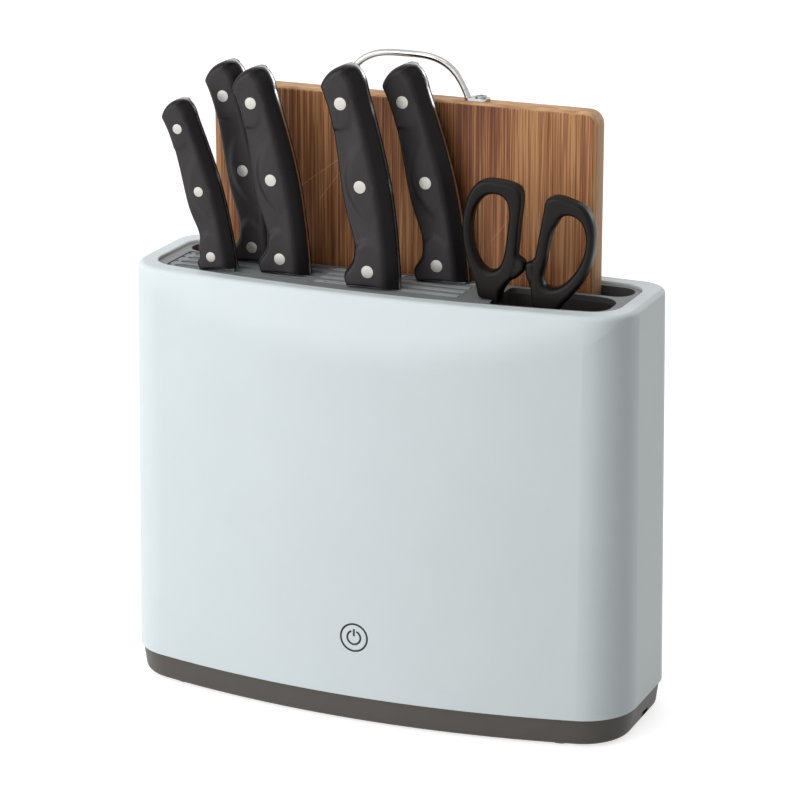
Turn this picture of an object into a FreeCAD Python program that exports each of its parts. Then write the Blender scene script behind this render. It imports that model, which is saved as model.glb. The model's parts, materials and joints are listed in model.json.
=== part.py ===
import FreeCAD, Part
import math
import os

# Knife steriliser cabinet with five knives, kitchen scissors and a cutting board.
# Millimetres, +Z up, front towards -Y. The origin is on the floor under the middle.

V = FreeCAD.Vector

# Cabinet body
BODY_WIDTH = 285.0
BODY_DEPTH = 104.0
RIM_HEIGHT = 231.0
SEAM_HEIGHT = 16.0
FRONT_BOW_RADIUS = 515.0
REAR_BOW_RADIUS = 2600.0
FRONT_CORNER_RADIUS = 30.0
REAR_CORNER_RADIUS = 19.0
DRAFT_DEGREES = 0.85
SHELL_WALL = 2.6
RIM_EDGE_RADIUS = 3.0
RIM_LIP_RADIUS = 0.8

# Sloped scoop across the top of the front
SCOOP_SETBACK = 9.1
SCOOP_BOW_RADIUS = 1000.0
SCOOP_SLOPE = 0.352
SCOOP_DROP = 70.0
CREASE_RADIUS = 45.0

# Opening in the rim and the ledge that carries the insert
RIM_WIDTH_SIDE = 9.8
RIM_WIDTH_FRONT = 8.0
RIM_WIDTH_REAR = 10.3
OPENING_FRONT_BOW = 720.0
OPENING_FRONT_CORNER = 16.0
OPENING_REAR_CORNER = 13.0
INSERT_RECESS = 1.6
INSERT_THICKNESS = 3.0
INSERT_CLEARANCE = 0.35
LEDGE_WIDTH = 1.4
LEDGE_THICKNESS = 2.9

# Board slot, slit bank and scissors well in the insert
SLOT_END_MARGIN = 4.0
SLOT_REAR_MARGIN = 2.9
SLOT_FRONT_BOW = 40000.0
SLOT_CORNER = 9.0
BOARD_PLAY_ACROSS = 8.4
BOARD_PLAY_ALONG = 36.0
BOARD_SHIFT = -2.5
CHUTE_WALL = 1.2
CHUTE_DEPTH = 24.0
ROW_COUNT = 4
ROW_PITCH = 8.2
ROW_TO_SLOT = 4.0
SLIT_WIDTH = 2.7
BANK_LEFT_MARGIN = 11.5
BANK_TO_WELL = 20.0
BANK_BRIDGE = 4.0
BANK_FRONT_MARGIN = 4.6
BANK_END_MARGIN = 4.0
BANK_LEDGE = 2.0
BANK_CORNER = 5.0
BANK_SKIRT = 2.0
BANK_FLANGE = 1.6
RIB_HEIGHT = 0.3
RIB_WIDTH = 0.8
LIP_WIDTH = 4.2
LIP_THICKNESS = 2.6
MARKER_RADIUS = 1.1
WELL_WIDTH = 60.5
WELL_END_MARGIN = 6.0
WELL_TO_SLOT = 2.8
WELL_LEFT_CORNER = 3.0
WELL_RIGHT_CORNER = 12.0
CUP_WALL = 1.4
CUP_DEPTH = 128.0
CUP_WINDOW_WIDTH = 7.0
CUP_WINDOW_PITCH = 14.0
PART_GAP = 0.3

# Base
BASE_INSET_TOP = 1.3
BASE_INSET_BOTTOM = 3.3
BASE_GAP = 0.6
BASE_WALL = 2.2
BASE_FLOOR = 1.6
BASE_LIFT = 0.8
BASE_EDGE_RADIUS = 3.6
SPIGOT_HEIGHT = 4.0
FOOT_RADIUS = 6.5
FOOT_RECESS = 0.7
FOOT_X = 108.0
FOOT_Y = 27.0
SCREW_RADIUS = 1.5
SCREW_HEAD_RADIUS = 2.8
SCREW_HEAD_HEIGHT = 1.8
SCREW_LENGTH = 20.0
POST_RADIUS = 4.4
BOSS_RADIUS = 4.0
BOSS_TOP = 34.0
BOSS_BOTTOM = 18.0
BOSS_SETBACK = 12.0
BOSS_CORNER_ANGLE = 35.0
WEB_THICKNESS = 2.0

# Deck and drip tray
DECK_HEIGHT = 36.0
DECK_THICKNESS = 2.0
DECK_CLEARANCE = 0.5
LEG_RADIUS = 3.5
LEG_X = 112.0
LEG_FRONT_Y = -27.0
LEG_REAR_Y = 32.0
TRAY_INSET = 6.0
TRAY_THICKNESS = 1.6
TRAY_RIM = 11.0
COLLAR_HEIGHT = 8.0
RAIL_HEIGHT = 9.0
RAIL_WALL = 1.6
RAIL_PLAY = 0.5

# Warm-air unit
FAN_X = -72.0
FAN_Y = -8.0
FAN_SIZE = 40.0
FAN_HEIGHT = 10.0
FAN_BORE = 18.6
FAN_STAND = 5.0
FAN_HUB_RADIUS = 8.5
FAN_BLADE_COUNT = 7
FAN_TIP_GAP = 0.8
SHAFT_RADIUS = 1.5
SHAFT_CLEARANCE = 0.05
HEATER_HEIGHT = 12.0
HEATER_FINS = 9
HEATER_FIN = 0.6
DUCT_WALL = 1.5
VENT_SLOT = 3.2
VENT_COUNT = 6

# Electronics
BOARD_LIFT = 3.2
PCB_THICKNESS = 1.6
PCB_LENGTH = 66.0
PCB_DEPTH = 36.0
PCB_Y = 6.0
PORT_Y = 14.0
PORT_WIDTH = 9.4
PORT_HEIGHT = 3.6
SOCKET_WALL = 0.4
SOCKET_LENGTH = 8.0
SOCKET_SETBACK = 6.0
KEY_HEIGHT = 49.0
KEY_PAD_RADIUS = 6.5
KEY_PAD_THICKNESS = 4.0
KEY_BOARD_WIDTH = 24.0
KEY_BOARD_HEIGHT = 30.0
KEY_BOARD_THICKNESS = 1.2
LAMP_BOTTOM = 78.0
LAMP_LENGTH = 120.0
LAMP_WIDTH = 14.0
LAMP_BOARD = 1.2
LAMP_PAD_X = 136.2
LAMP_COUNT = 5
LED_SIZE = 3.5
LED_HEIGHT = 1.4
COVER_WALL = 1.2
COVER_DEPTH = 4.6

# Cutting board and its handle
BOARD_HEIGHT = 282.5
BOARD_THICKNESS = 13.0
BOARD_REAR_GAP = 2.8
BOARD_CORNER_RADIUS = 7.5
BOARD_EDGE_RADIUS = 2.0
ROD_RADIUS = 1.8
HANDLE_SPAN = 70.0
HANDLE_RISE = 21.5
HANDLE_BEND = 13.0
TAB_LENGTH = 14.0
TAB_THICKNESS = 1.6
TAB_WIDTH = 7.0
BOARD_SCREW_RADIUS = 1.6
BOARD_SCREW_LENGTH = 16.0
BOARD_SCREW_HEAD = 1.4

# Knives: row, place along the slit bank, size of the handle, lean, blade
HANDLE_THICKNESS = 16.0
RIVET_RADIUS = 3.1
RIVET_PROUD = 0.15
BEVEL_DEPTH = 5.8
BEVEL_WIDTH = 6.5
BEVEL_STEPS = 3
EDGE_ROUND = 2.6
BLADE_SETBACK = 1.5
SHOULDER_WIDTH = 20.0
HEEL_DROP = 6.0
GRIND_SHARE = 0.62
EDGE_HALF_THICKNESS = 0.15
HOLLOW_RADIUS = 40.0
HOLLOW_DEPTH = 1.5
FOOT_ARCH = 0.9
HANDLE_LIFT = 0.3
KNIVES = {
    "paring": dict(row=0, place=0.228, size=0.835, flare=2.7, lean=4.3,
                   length=96.0, heel=19.0, thickness=1.6, tip=0.75),
    "utility": dict(row=3, place=0.317, size=0.985, flare=0.0, lean=0.2,
                    length=142.0, heel=26.0, thickness=1.8, tip=0.70),
    "santoku": dict(row=1, place=0.466, size=1.0, flare=0.0, lean=0.0,
                    length=160.0, heel=36.0, thickness=1.8, tip=0.30),
    "chef": dict(row=0, place=0.8025, size=1.06, flare=0.0, lean=-1.2,
                 length=176.0, heel=38.0, thickness=2.0, tip=0.85),
    "slicing": dict(row=3, place=0.98, size=1.045, flare=0.0, lean=2.0,
                    length=174.0, heel=32.0, thickness=2.0, tip=0.80),
}

# Handle outline at size 1, as height above the foot and place across
SPINE_POINTS = [(0.0, 0.0), (6.0, -0.2), (18.4, -1.3), (34.0, -3.2), (50.0, -5.9), (72.0, -11.4),
                (96.9, -19.0)]
BELLY_POINTS = [(1.8, -27.1), (5.2, -27.5), (8.6, -25.6), (12.0, -23.3), (18.4, -22.4),
                (34.0, -26.6), (50.0, -30.2), (72.0, -33.6), (96.9, -41.4)]
HANDLE_TOE = (0.5, -26.5)
HANDLE_SOLE = (0.0, -25.0)
HANDLE_SHOULDER = (103.4, -20.7)
HANDLE_TOP = (108.4, -25.0)
HANDLE_BUTT = (105.3, -35.5)
RIVET_PLACES = [(8.5, -13.9), (50.2, -18.6), (90.0, -29.5)]

# Finger hollows at size 1: place across, height, slope of the hollow in degrees
HOLLOW_PLACES = [(-22.0, 31.5, -32.0), (-25.0, 70.0, 32.0)]
FLARE_POINT_COUNT = 3

# Scissors
SCISSORS_FROM_WELL = 18.0
SCISSORS_ROW = -13.3
PIVOT_DROP = 19.3
SCISSOR_BLADE = 1.9
SCISSOR_BLADE_GAP = 0.08
SCISSOR_BLADE_LENGTH = 97.0
SCISSOR_HANDLE = 9.0
STEM_CORNER = 2.6
LOOP_ROUND = 1.7
HOLE_ROUND = 2.2
LUG_HALF_DEPTH = 3.4
PIN_RADIUS = 2.0
JOINT_CLEAR = 10.2
STEM_PLAY = 0.3

# Places worked out from the sizes above
DRAFT = math.tan(math.radians(DRAFT_DEGREES))
HALF_WIDTH = BODY_WIDTH / 2
FRONT = -BODY_DEPTH / 2
REAR = BODY_DEPTH / 2
TOP_INSET = DRAFT * (RIM_HEIGHT - SEAM_HEIGHT)
OPENING_HALF = HALF_WIDTH - TOP_INSET - RIM_WIDTH_SIDE
SCOOP_FRONT = FRONT + TOP_INSET + SCOOP_SETBACK
OPENING_FRONT = SCOOP_FRONT + RIM_WIDTH_FRONT
OPENING_REAR = REAR - TOP_INSET - RIM_WIDTH_REAR
INSERT_TOP = RIM_HEIGHT - INSERT_RECESS
LEDGE_TOP = INSERT_TOP - INSERT_THICKNESS
LEDGE_BOTTOM = LEDGE_TOP - LEDGE_THICKNESS
SLOT_REAR = OPENING_REAR - SLOT_REAR_MARGIN
SLOT_WIDTH = BOARD_THICKNESS + BOARD_PLAY_ACROSS
SLOT_FRONT = SLOT_REAR - SLOT_WIDTH
SLOT_HALF = OPENING_HALF - SLOT_END_MARGIN
BOARD_WIDTH = 2 * SLOT_HALF - BOARD_PLAY_ALONG
BOARD_Y = SLOT_REAR - BOARD_REAR_GAP - BOARD_THICKNESS / 2
ROWS = [SLOT_FRONT - ROW_TO_SLOT - ROW_PITCH * (ROW_COUNT - 1 - k) for k in range(ROW_COUNT)]
WELL_RIGHT = OPENING_HALF - WELL_END_MARGIN
WELL_LEFT = WELL_RIGHT - WELL_WIDTH
WELL_REAR = SLOT_FRONT - WELL_TO_SLOT
BANK_LEFT = -OPENING_HALF + BANK_LEFT_MARGIN
BANK_RIGHT = WELL_LEFT - BANK_TO_WELL
BANK_MIDDLE = (BANK_LEFT + BANK_RIGHT) / 2
BANK_TOP = LEDGE_TOP + 1.0 + BANK_FLANGE
RIB_TOP = BANK_TOP + RIB_HEIGHT
KNIFE_FOOT = max(RIB_TOP, INSERT_TOP) + HANDLE_LIFT
PIVOT = V(WELL_LEFT + SCISSORS_FROM_WELL, SCISSORS_ROW, INSERT_TOP - PIVOT_DROP)
BASE_TOP = SEAM_HEIGHT - BASE_GAP
FLOOR_TOP = BASE_LIFT + BASE_FLOOR
TRAY_FLOOR = DECK_HEIGHT + DECK_THICKNESS
TRAY_TOP = TRAY_FLOOR + TRAY_THICKNESS
BOARD_BOTTOM = TRAY_TOP + PART_GAP
BOARD_TOP = BOARD_BOTTOM + BOARD_HEIGHT
FAN_BOTTOM = FLOOR_TOP + FAN_STAND
FAN_TOP = FAN_BOTTOM + FAN_HEIGHT
HEATER_TOP = FAN_TOP + HEATER_HEIGHT
PCB_BOTTOM = FLOOR_TOP + BOARD_LIFT
PCB_RIGHT = HALF_WIDTH - 11.5
SOCKET_Z = PCB_BOTTOM - PORT_HEIGHT / 2 + SOCKET_WALL / 2


def save(name, shape):
    shape.exportStep("parts/" + name + ".step")


def box(x0, x1, y0, y1, z0, z1):
    return Part.makeBox(x1 - x0, y1 - y0, z1 - z0, V(x0, y0, z0))


def rod(x, y, z0, z1, radius):
    return Part.makeCylinder(radius, z1 - z0, V(x, y, z0), V(0, 0, 1))


def rounded_bar(x0, x1, y, width, z0, z1):
    # A bar along X with half-round ends
    radius = width / 2
    body = box(x0 + radius, x1 - radius, y - radius, y + radius, z0, z1)
    ends = [rod(x0 + radius, y, z0, z1, radius), rod(x1 - radius, y, z0, z1, radius)]
    return body.fuse(ends).removeSplitter()


def bow_corner(side, apex, bow, radius, sign):
    # Corner arc that is tangent to the bowed face and to the straight end
    bow_centre = apex + sign * bow
    centre_x = side - radius
    centre_y = bow_centre - sign * math.sqrt((bow - radius) ** 2 - centre_x ** 2)
    reach = bow / (bow - radius)
    on_bow = (centre_x * reach, bow_centre + (centre_y - bow_centre) * reach)
    half_turn = math.atan2(on_bow[1] - centre_y, on_bow[0] - centre_x) / 2
    middle = (centre_x + radius * math.cos(half_turn), centre_y + radius * math.sin(half_turn))
    return on_bow, middle, (side, centre_y)


def lens_wire(plan, inset, z):
    # Closed outline with bowed front and rear, straight ends and four corner arcs
    half, front, rear, front_bow, rear_bow, front_corner, rear_corner = plan
    half = half - inset
    front = front + inset
    rear = rear - inset
    a, b, c = bow_corner(half, front, front_bow - inset, front_corner - inset, 1)
    f, e, d = bow_corner(half, rear, rear_bow - inset, rear_corner - inset, -1)
    right = [V(p[0], p[1], z) for p in (a, b, c, d, e, f)]
    left = [V(-p.x, p.y, z) for p in right]
    edges = [
        Part.Arc(left[0], V(0, front, z), right[0]).toShape(),
        Part.Arc(right[0], right[1], right[2]).toShape(),
        Part.makeLine(right[2], right[3]),
        Part.Arc(right[3], right[4], right[5]).toShape(),
        Part.Arc(right[5], V(0, rear, z), left[5]).toShape(),
        Part.Arc(left[5], left[4], left[3]).toShape(),
        Part.makeLine(left[3], left[2]),
        Part.Arc(left[2], left[1], left[0]).toShape(),
    ]
    return Part.Wire(edges)


def lens_solid(plan, inset0, z0, inset1, z1):
    return Part.makeLoft([lens_wire(plan, inset0, z0), lens_wire(plan, inset1, z1)], True, True)


BODY_PLAN = (HALF_WIDTH, FRONT, REAR, FRONT_BOW_RADIUS, REAR_BOW_RADIUS,
             FRONT_CORNER_RADIUS, REAR_CORNER_RADIUS)
OPENING_PLAN = (OPENING_HALF, OPENING_FRONT, OPENING_REAR, OPENING_FRONT_BOW,
                REAR_BOW_RADIUS, OPENING_FRONT_CORNER, OPENING_REAR_CORNER)
SLOT_PLAN = (SLOT_HALF, SLOT_FRONT, SLOT_REAR, SLOT_FRONT_BOW, REAR_BOW_RADIUS,
             SLOT_CORNER, SLOT_CORNER)


def body_inset(z):
    return DRAFT * (z - SEAM_HEIGHT)


def scoop_cutter(shift):
    # Everything in front of a bowed, backward-leaning surface near the top of the front
    z = RIM_HEIGHT + 2.0
    reach = HALF_WIDTH + 25.0
    ahead = FRONT - 60.0
    middle = SCOOP_FRONT + shift + SCOOP_SLOPE * 2.0
    end = middle + SCOOP_BOW_RADIUS - math.sqrt(SCOOP_BOW_RADIUS ** 2 - reach ** 2)
    arc = Part.Arc(V(-reach, end, z), V(0, middle, z), V(reach, end, z)).toShape()
    corners = [V(reach, end, z), V(reach, ahead, z), V(-reach, ahead, z), V(-reach, end, z)]
    face = Part.Face(Part.Wire([arc] + Part.makePolygon(corners).Edges))
    return face.extrude(V(0, -SCOOP_SLOPE * SCOOP_DROP, -SCOOP_DROP))


def front_corner_centre():
    # Centre of the front corner arc of the seam outline, on the right
    x = HALF_WIDTH - FRONT_CORNER_RADIUS
    bow = FRONT_BOW_RADIUS - FRONT_CORNER_RADIUS
    return x, FRONT + FRONT_BOW_RADIUS - math.sqrt(bow ** 2 - x ** 2)


def boss_places():
    # Screw places round the seam: one in each front corner, two at the front, two at the rear
    corner_x, corner_y = front_corner_centre()
    turn = math.radians(BOSS_CORNER_ANGLE)
    reach = FRONT_CORNER_RADIUS - BOSS_SETBACK
    front_x = BODY_WIDTH * 0.22
    front_drop = FRONT_BOW_RADIUS - math.sqrt(FRONT_BOW_RADIUS ** 2 - front_x ** 2)
    rear_x = BODY_WIDTH * 0.28
    rear_drop = REAR_BOW_RADIUS - math.sqrt(REAR_BOW_RADIUS ** 2 - rear_x ** 2)
    places = []
    for sign in (-1, 1):
        places.append((sign * (corner_x + reach * math.cos(turn)), corner_y - reach * math.sin(turn)))
        places.append((sign * front_x, FRONT + front_drop + BOSS_SETBACK))
        places.append((sign * rear_x, REAR - rear_drop - BOSS_SETBACK))
    return places


def screw_bosses():
    # Each boss hangs from the wall by an upright web that starts above the base spigot
    web_bottom = BASE_TOP + SPIGOT_HEIGHT + 1.0
    half = WEB_THICKNESS / 2
    corner_x = front_corner_centre()[0]
    pieces = []
    for x, y in boss_places():
        pieces.append(rod(x, y, BOSS_BOTTOM, BOSS_TOP, BOSS_RADIUS))
        if abs(x) > corner_x:
            side = math.copysign(HALF_WIDTH, x)
            pieces.append(box(min(x, side), max(x, side), y - half, y + half, web_bottom, BOSS_TOP))
        else:
            wall = math.copysign(REAR, y)
            pieces.append(box(x - half, x + half, min(y, wall), max(y, wall), web_bottom, BOSS_TOP))
    return pieces


def outer_shell():
    outer = lens_solid(BODY_PLAN, 0.0, SEAM_HEIGHT, TOP_INSET, RIM_HEIGHT)
    outer = outer.cut(scoop_cutter(0.0))
    crease = []
    for edge in outer.Edges:
        bound = edge.BoundBox
        if bound.ZMin < RIM_HEIGHT - 0.1 and bound.ZMin > RIM_HEIGHT - SCOOP_DROP and bound.YMax < 0:
            crease.append(edge)
    outer = outer.makeFillet(CREASE_RADIUS, crease)
    rim = [edge for edge in outer.Edges if edge.BoundBox.ZMin > RIM_HEIGHT - 0.05]
    outer = outer.makeFillet(RIM_EDGE_RADIUS, rim)
    low = SEAM_HEIGHT - 1.0
    cavity = lens_solid(BODY_PLAN, SHELL_WALL + body_inset(low), low,
                        SHELL_WALL + body_inset(LEDGE_BOTTOM), LEDGE_BOTTOM)
    cavity = cavity.cut(scoop_cutter(SHELL_WALL))
    shell = outer.cut(cavity)
    pocket = lens_solid(OPENING_PLAN, 0.0, LEDGE_TOP, 0.0, RIM_HEIGHT + 1.0)
    mouth = lens_solid(OPENING_PLAN, LEDGE_WIDTH, LEDGE_BOTTOM - 1.0, LEDGE_WIDTH, LEDGE_TOP)
    shell = shell.cut(pocket).cut(mouth)
    lip = []
    for edge in shell.Edges:
        bound = edge.BoundBox
        inside = bound.XMax < OPENING_HALF + 0.1 and bound.XMin > -OPENING_HALF - 0.1
        if bound.ZMin > RIM_HEIGHT - 0.05 and inside and bound.YMin > OPENING_FRONT - 0.1:
            if bound.YMax < OPENING_REAR + 0.1:
                lip.append(edge)
    shell = shell.makeFillet(RIM_LIP_RADIUS, lip)
    extras = screw_bosses()
    clip = lens_solid(BODY_PLAN, 0.5, SEAM_HEIGHT, 0.5 + TOP_INSET, RIM_HEIGHT)
    wall = HALF_WIDTH - body_inset(LAMP_BOTTOM)
    for sign in (-1, 1):
        for z in (LAMP_BOTTOM - 4.0, LAMP_BOTTOM + LAMP_LENGTH - 6.0):
            pad = box(LAMP_PAD_X, wall, -10.0, 10.0, z, z + 10.0)
            if sign < 0:
                pad = box(-wall, -LAMP_PAD_X, -10.0, 10.0, z, z + 10.0)
            extras.append(pad)
    for x, z in key_posts():
        extras.append(Part.makeCylinder(2.2, key_board_front() - FRONT, V(x, FRONT, z), V(0, 1, 0)))
    shell = shell.fuse([piece.common(clip) for piece in extras])
    for x, y in boss_places():
        shell = shell.cut(rod(x, y, BOSS_BOTTOM - 1.0, BOSS_TOP - 3.0, SCREW_RADIUS + 0.02))
    return shell.removeSplitter()


def key_board_front():
    inner = FRONT + body_inset(KEY_HEIGHT) + SHELL_WALL
    return inner + PART_GAP + KEY_PAD_THICKNESS


def key_posts():
    x = KEY_BOARD_WIDTH / 2 - 3.0
    z = KEY_BOARD_HEIGHT / 2 - 3.5
    return [(-x, KEY_HEIGHT - z), (x, KEY_HEIGHT + z), (-x, KEY_HEIGHT + z), (x, KEY_HEIGHT - z)]


def vent_slots(z0, z1):
    # Parallel slots centred under the fan
    pitch = 2 * VENT_SLOT
    first = FAN_Y - pitch * (VENT_COUNT - 1) / 2
    reach = FAN_BORE - 1.5
    bars = []
    for k in range(VENT_COUNT):
        y = first + pitch * k
        half = math.sqrt(max(reach ** 2 - (y - FAN_Y) ** 2, 36.0))
        bars.append(rounded_bar(FAN_X - half, FAN_X + half, y, VENT_SLOT, z0, z1))
    return bars


def base_shell():
    outer = lens_solid(BODY_PLAN, BASE_INSET_BOTTOM, BASE_LIFT, BASE_INSET_TOP, BASE_TOP)
    bottom = [edge for edge in outer.Edges if edge.BoundBox.ZMax < BASE_LIFT + 0.1]
    outer = outer.makeFillet(BASE_EDGE_RADIUS, bottom)
    spigot_inset = SHELL_WALL + PART_GAP
    spigot = lens_solid(BODY_PLAN, spigot_inset, BASE_TOP - 1.0, spigot_inset, BASE_TOP + SPIGOT_HEIGHT)
    base = outer.fuse(spigot)
    inner_inset = BASE_INSET_BOTTOM + BASE_WALL
    hollow = lens_solid(BODY_PLAN, inner_inset, FLOOR_TOP, inner_inset, BASE_TOP + SPIGOT_HEIGHT + 1.0)
    base = base.cut(hollow)
    posts = [rod(x, y, BASE_LIFT, BOSS_BOTTOM, POST_RADIUS) for x, y in boss_places()]
    stands = []
    half = FAN_SIZE / 2 - 3.0
    for sx in (-1, 1):
        for sy in (-1, 1):
            stands.append(rod(FAN_X + sx * half, FAN_Y + sy * half, FLOOR_TOP - 0.5, FAN_BOTTOM, 2.6))
            stands.append(rod(PCB_RIGHT - PCB_LENGTH / 2 + sx * (PCB_LENGTH / 2 - 4.0),
                              PCB_Y + sy * (PCB_DEPTH / 2 - 4.0),
                              FLOOR_TOP - 0.5, PCB_BOTTOM, 2.4))
    base = base.fuse(posts + stands)
    cuts = vent_slots(BASE_LIFT - 1.0, FLOOR_TOP + 1.0)
    for x, y in boss_places():
        cuts.append(rod(x, y, BASE_LIFT - 1.0, BOSS_BOTTOM + 1.0, SCREW_RADIUS + 0.3))
        cuts.append(rod(x, y, BASE_LIFT - 1.0, screw_head_bottom() + SCREW_HEAD_HEIGHT,
                        SCREW_HEAD_RADIUS + 0.3))
    for x, y in foot_places():
        cuts.append(rod(x, y, BASE_LIFT - 1.0, BASE_LIFT + FOOT_RECESS, FOOT_RADIUS + 0.2))
    cuts.append(port_bar(HALF_WIDTH - 12.0, HALF_WIDTH + 5.0, PORT_WIDTH, PORT_HEIGHT))
    for cutter in cuts:
        base = base.cut(cutter)
    return base.removeSplitter()


def screw_head_bottom():
    return BASE_LIFT + 1.4


def foot_places():
    return [(sx * FOOT_X, sy * FOOT_Y) for sx in (-1, 1) for sy in (-1, 1)]


def port_bar(x0, x1, width, height):
    # Round-ended bar along X at the power inlet
    radius = height / 2
    flat = box(x0, x1, PORT_Y - width / 2 + radius, PORT_Y + width / 2 - radius,
               SOCKET_Z - radius, SOCKET_Z + radius)
    ends = []
    for sign in (-1, 1):
        y = PORT_Y + sign * (width / 2 - radius)
        ends.append(Part.makeCylinder(radius, x1 - x0, V(x0, y, SOCKET_Z), V(1, 0, 0)))
    return flat.fuse(ends).removeSplitter()


def foot(x, y):
    return rod(x, y, 0.0, BASE_LIFT + FOOT_RECESS, FOOT_RADIUS)


def base_screws():
    screws = []
    for x, y in boss_places():
        head = screw_head_bottom()
        screw = rod(x, y, head, head + SCREW_HEAD_HEIGHT, SCREW_HEAD_RADIUS)
        screw = screw.fuse(rod(x, y, head, head + SCREW_LENGTH, SCREW_RADIUS))
        screws.append(screw.removeSplitter())
    return Part.makeCompound(screws)


def duct_ring(size, wall, z0, z1):
    outer = box(FAN_X - size / 2, FAN_X + size / 2, FAN_Y - size / 2, FAN_Y + size / 2, z0, z1)
    inner_half = size / 2 - wall
    inner = box(FAN_X - inner_half, FAN_X + inner_half, FAN_Y - inner_half, FAN_Y + inner_half,
                z0 - 1.0, z1 + 1.0)
    return outer.cut(inner)


def chamber_deck():
    inset = SHELL_WALL + DECK_CLEARANCE + body_inset(DECK_HEIGHT)
    deck = lens_solid(BODY_PLAN, inset, DECK_HEIGHT, inset, TRAY_FLOOR)
    legs = []
    for sx in (-1, 1):
        for y in (LEG_FRONT_Y, LEG_REAR_Y):
            legs.append(rod(sx * LEG_X, y, FLOOR_TOP, DECK_HEIGHT + 0.5, LEG_RADIUS))
    collar = duct_ring(FAN_SIZE, DUCT_WALL, DECK_HEIGHT, TRAY_FLOOR + COLLAR_HEIGHT)
    skirt = duct_ring(FAN_SIZE, DUCT_WALL, HEATER_TOP, DECK_HEIGHT + 0.5)
    deck = deck.fuse(legs + [collar, skirt])
    for bar in vent_slots(DECK_HEIGHT - 1.0, TRAY_FLOOR + 1.0):
        deck = deck.cut(bar)
    notch_half = KEY_BOARD_WIDTH / 2 + 1.5
    notch_rear = key_board_front() + KEY_BOARD_THICKNESS + 0.5
    deck = deck.cut(box(-notch_half, notch_half, FRONT, notch_rear, DECK_HEIGHT - 1.0, TRAY_FLOOR + 1.0))
    return deck.removeSplitter()


def drip_tray():
    inset = SHELL_WALL + TRAY_INSET + body_inset(DECK_HEIGHT)
    outer = lens_solid(BODY_PLAN, inset + 1.0, TRAY_FLOOR, inset, TRAY_FLOOR + TRAY_RIM)
    inner = lens_solid(BODY_PLAN, inset + TRAY_THICKNESS + 1.0, TRAY_TOP,
                       inset + TRAY_THICKNESS, TRAY_FLOOR + TRAY_RIM + 0.5)
    tray = outer.cut(inner)
    window = FAN_SIZE + 2 * PART_GAP
    collar = duct_ring(window + 2 * DUCT_WALL, DUCT_WALL, TRAY_FLOOR, TRAY_TOP + COLLAR_HEIGHT)
    rails = []
    reach = BOARD_WIDTH / 2 - 12.0
    for sign in (-1, 1):
        y = BOARD_Y + sign * (BOARD_THICKNESS / 2 + RAIL_PLAY + RAIL_WALL / 2)
        rails.append(box(BOARD_SHIFT - reach, BOARD_SHIFT + reach, y - RAIL_WALL / 2,
                         y + RAIL_WALL / 2, TRAY_FLOOR + 0.5, TRAY_TOP + RAIL_HEIGHT))
    tray = tray.fuse([collar] + rails)
    half = window / 2
    tray = tray.cut(box(FAN_X - half, FAN_X + half, FAN_Y - half, FAN_Y + half,
                        TRAY_FLOOR - 1.0, TRAY_TOP + COLLAR_HEIGHT + 1.0))
    return tray.removeSplitter()


def fan_frame():
    frame = box(FAN_X - FAN_SIZE / 2, FAN_X + FAN_SIZE / 2, FAN_Y - FAN_SIZE / 2,
                FAN_Y + FAN_SIZE / 2, FAN_BOTTOM, FAN_TOP)
    upright = [edge for edge in frame.Edges if abs(edge.BoundBox.ZLength - FAN_HEIGHT) < 0.01]
    frame = frame.makeFillet(3.0, upright)
    frame = frame.cut(rod(FAN_X, FAN_Y, FAN_BOTTOM - 1.0, FAN_TOP + 1.0, FAN_BORE))
    spokes = []
    for k in range(4):
        spoke = box(SHAFT_RADIUS, FAN_BORE + 0.8, -1.2, 1.2, 0.0, 1.6)
        spoke.rotate(V(0, 0, 0), V(0, 0, 1), 45.0 + 90.0 * k)
        spoke.translate(V(FAN_X, FAN_Y, FAN_BOTTOM))
        spokes.append(spoke)
    spokes.append(rod(FAN_X, FAN_Y, FAN_BOTTOM, FAN_BOTTOM + 1.6, FAN_HUB_RADIUS - 1.0))
    spokes.append(rod(FAN_X, FAN_Y, FAN_BOTTOM, FAN_BOTTOM + 4.0, SHAFT_RADIUS + 1.5))
    frame = frame.fuse(spokes)
    bore = rod(FAN_X, FAN_Y, FAN_BOTTOM - 1.0, FAN_BOTTOM + 5.0, SHAFT_RADIUS + SHAFT_CLEARANCE)
    return frame.cut(bore).removeSplitter()


def fan_rotor():
    hub_bottom = FAN_BOTTOM + 2.2
    hub_top = FAN_TOP - 0.8
    cup = rod(0, 0, hub_bottom, hub_top, FAN_HUB_RADIUS)
    cup = cup.cut(rod(0, 0, hub_bottom - 1.0, hub_top - 1.2, FAN_HUB_RADIUS - 1.2))
    rotor = cup.fuse(rod(0, 0, FAN_BOTTOM + 0.4, hub_top - 0.5, SHAFT_RADIUS))
    tip = FAN_BORE - FAN_TIP_GAP
    blades = []
    for k in range(FAN_BLADE_COUNT):
        root = blade_section(FAN_HUB_RADIUS - 0.6, 38.0, 7.0, hub_bottom + 3.2)
        end = blade_section(tip - 0.3, 24.0, 9.5, hub_bottom + 3.2)
        blade = Part.makeLoft([root, end], True, True)
        blade.rotate(V(0, 0, 0), V(0, 0, 1), 360.0 / FAN_BLADE_COUNT * k)
        blades.append(blade)
    rotor = rotor.fuse(blades)
    rotor = rotor.common(rod(0, 0, FAN_BOTTOM, FAN_TOP, tip))
    rotor.translate(V(FAN_X, FAN_Y, 0))
    return rotor.removeSplitter()


def blade_section(radius, pitch, chord, z):
    # Thin four-sided section of a fan blade, square to the radius
    tilt = math.radians(pitch)
    along = V(0, math.cos(tilt), math.sin(tilt)) * (chord / 2)
    across = V(0, -math.sin(tilt), math.cos(tilt)) * 0.5
    centre = V(radius, 0, z)
    points = [centre - along - across, centre + along - across,
              centre + along + across, centre - along + across]
    return Part.makePolygon(points + points[:1])


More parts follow.
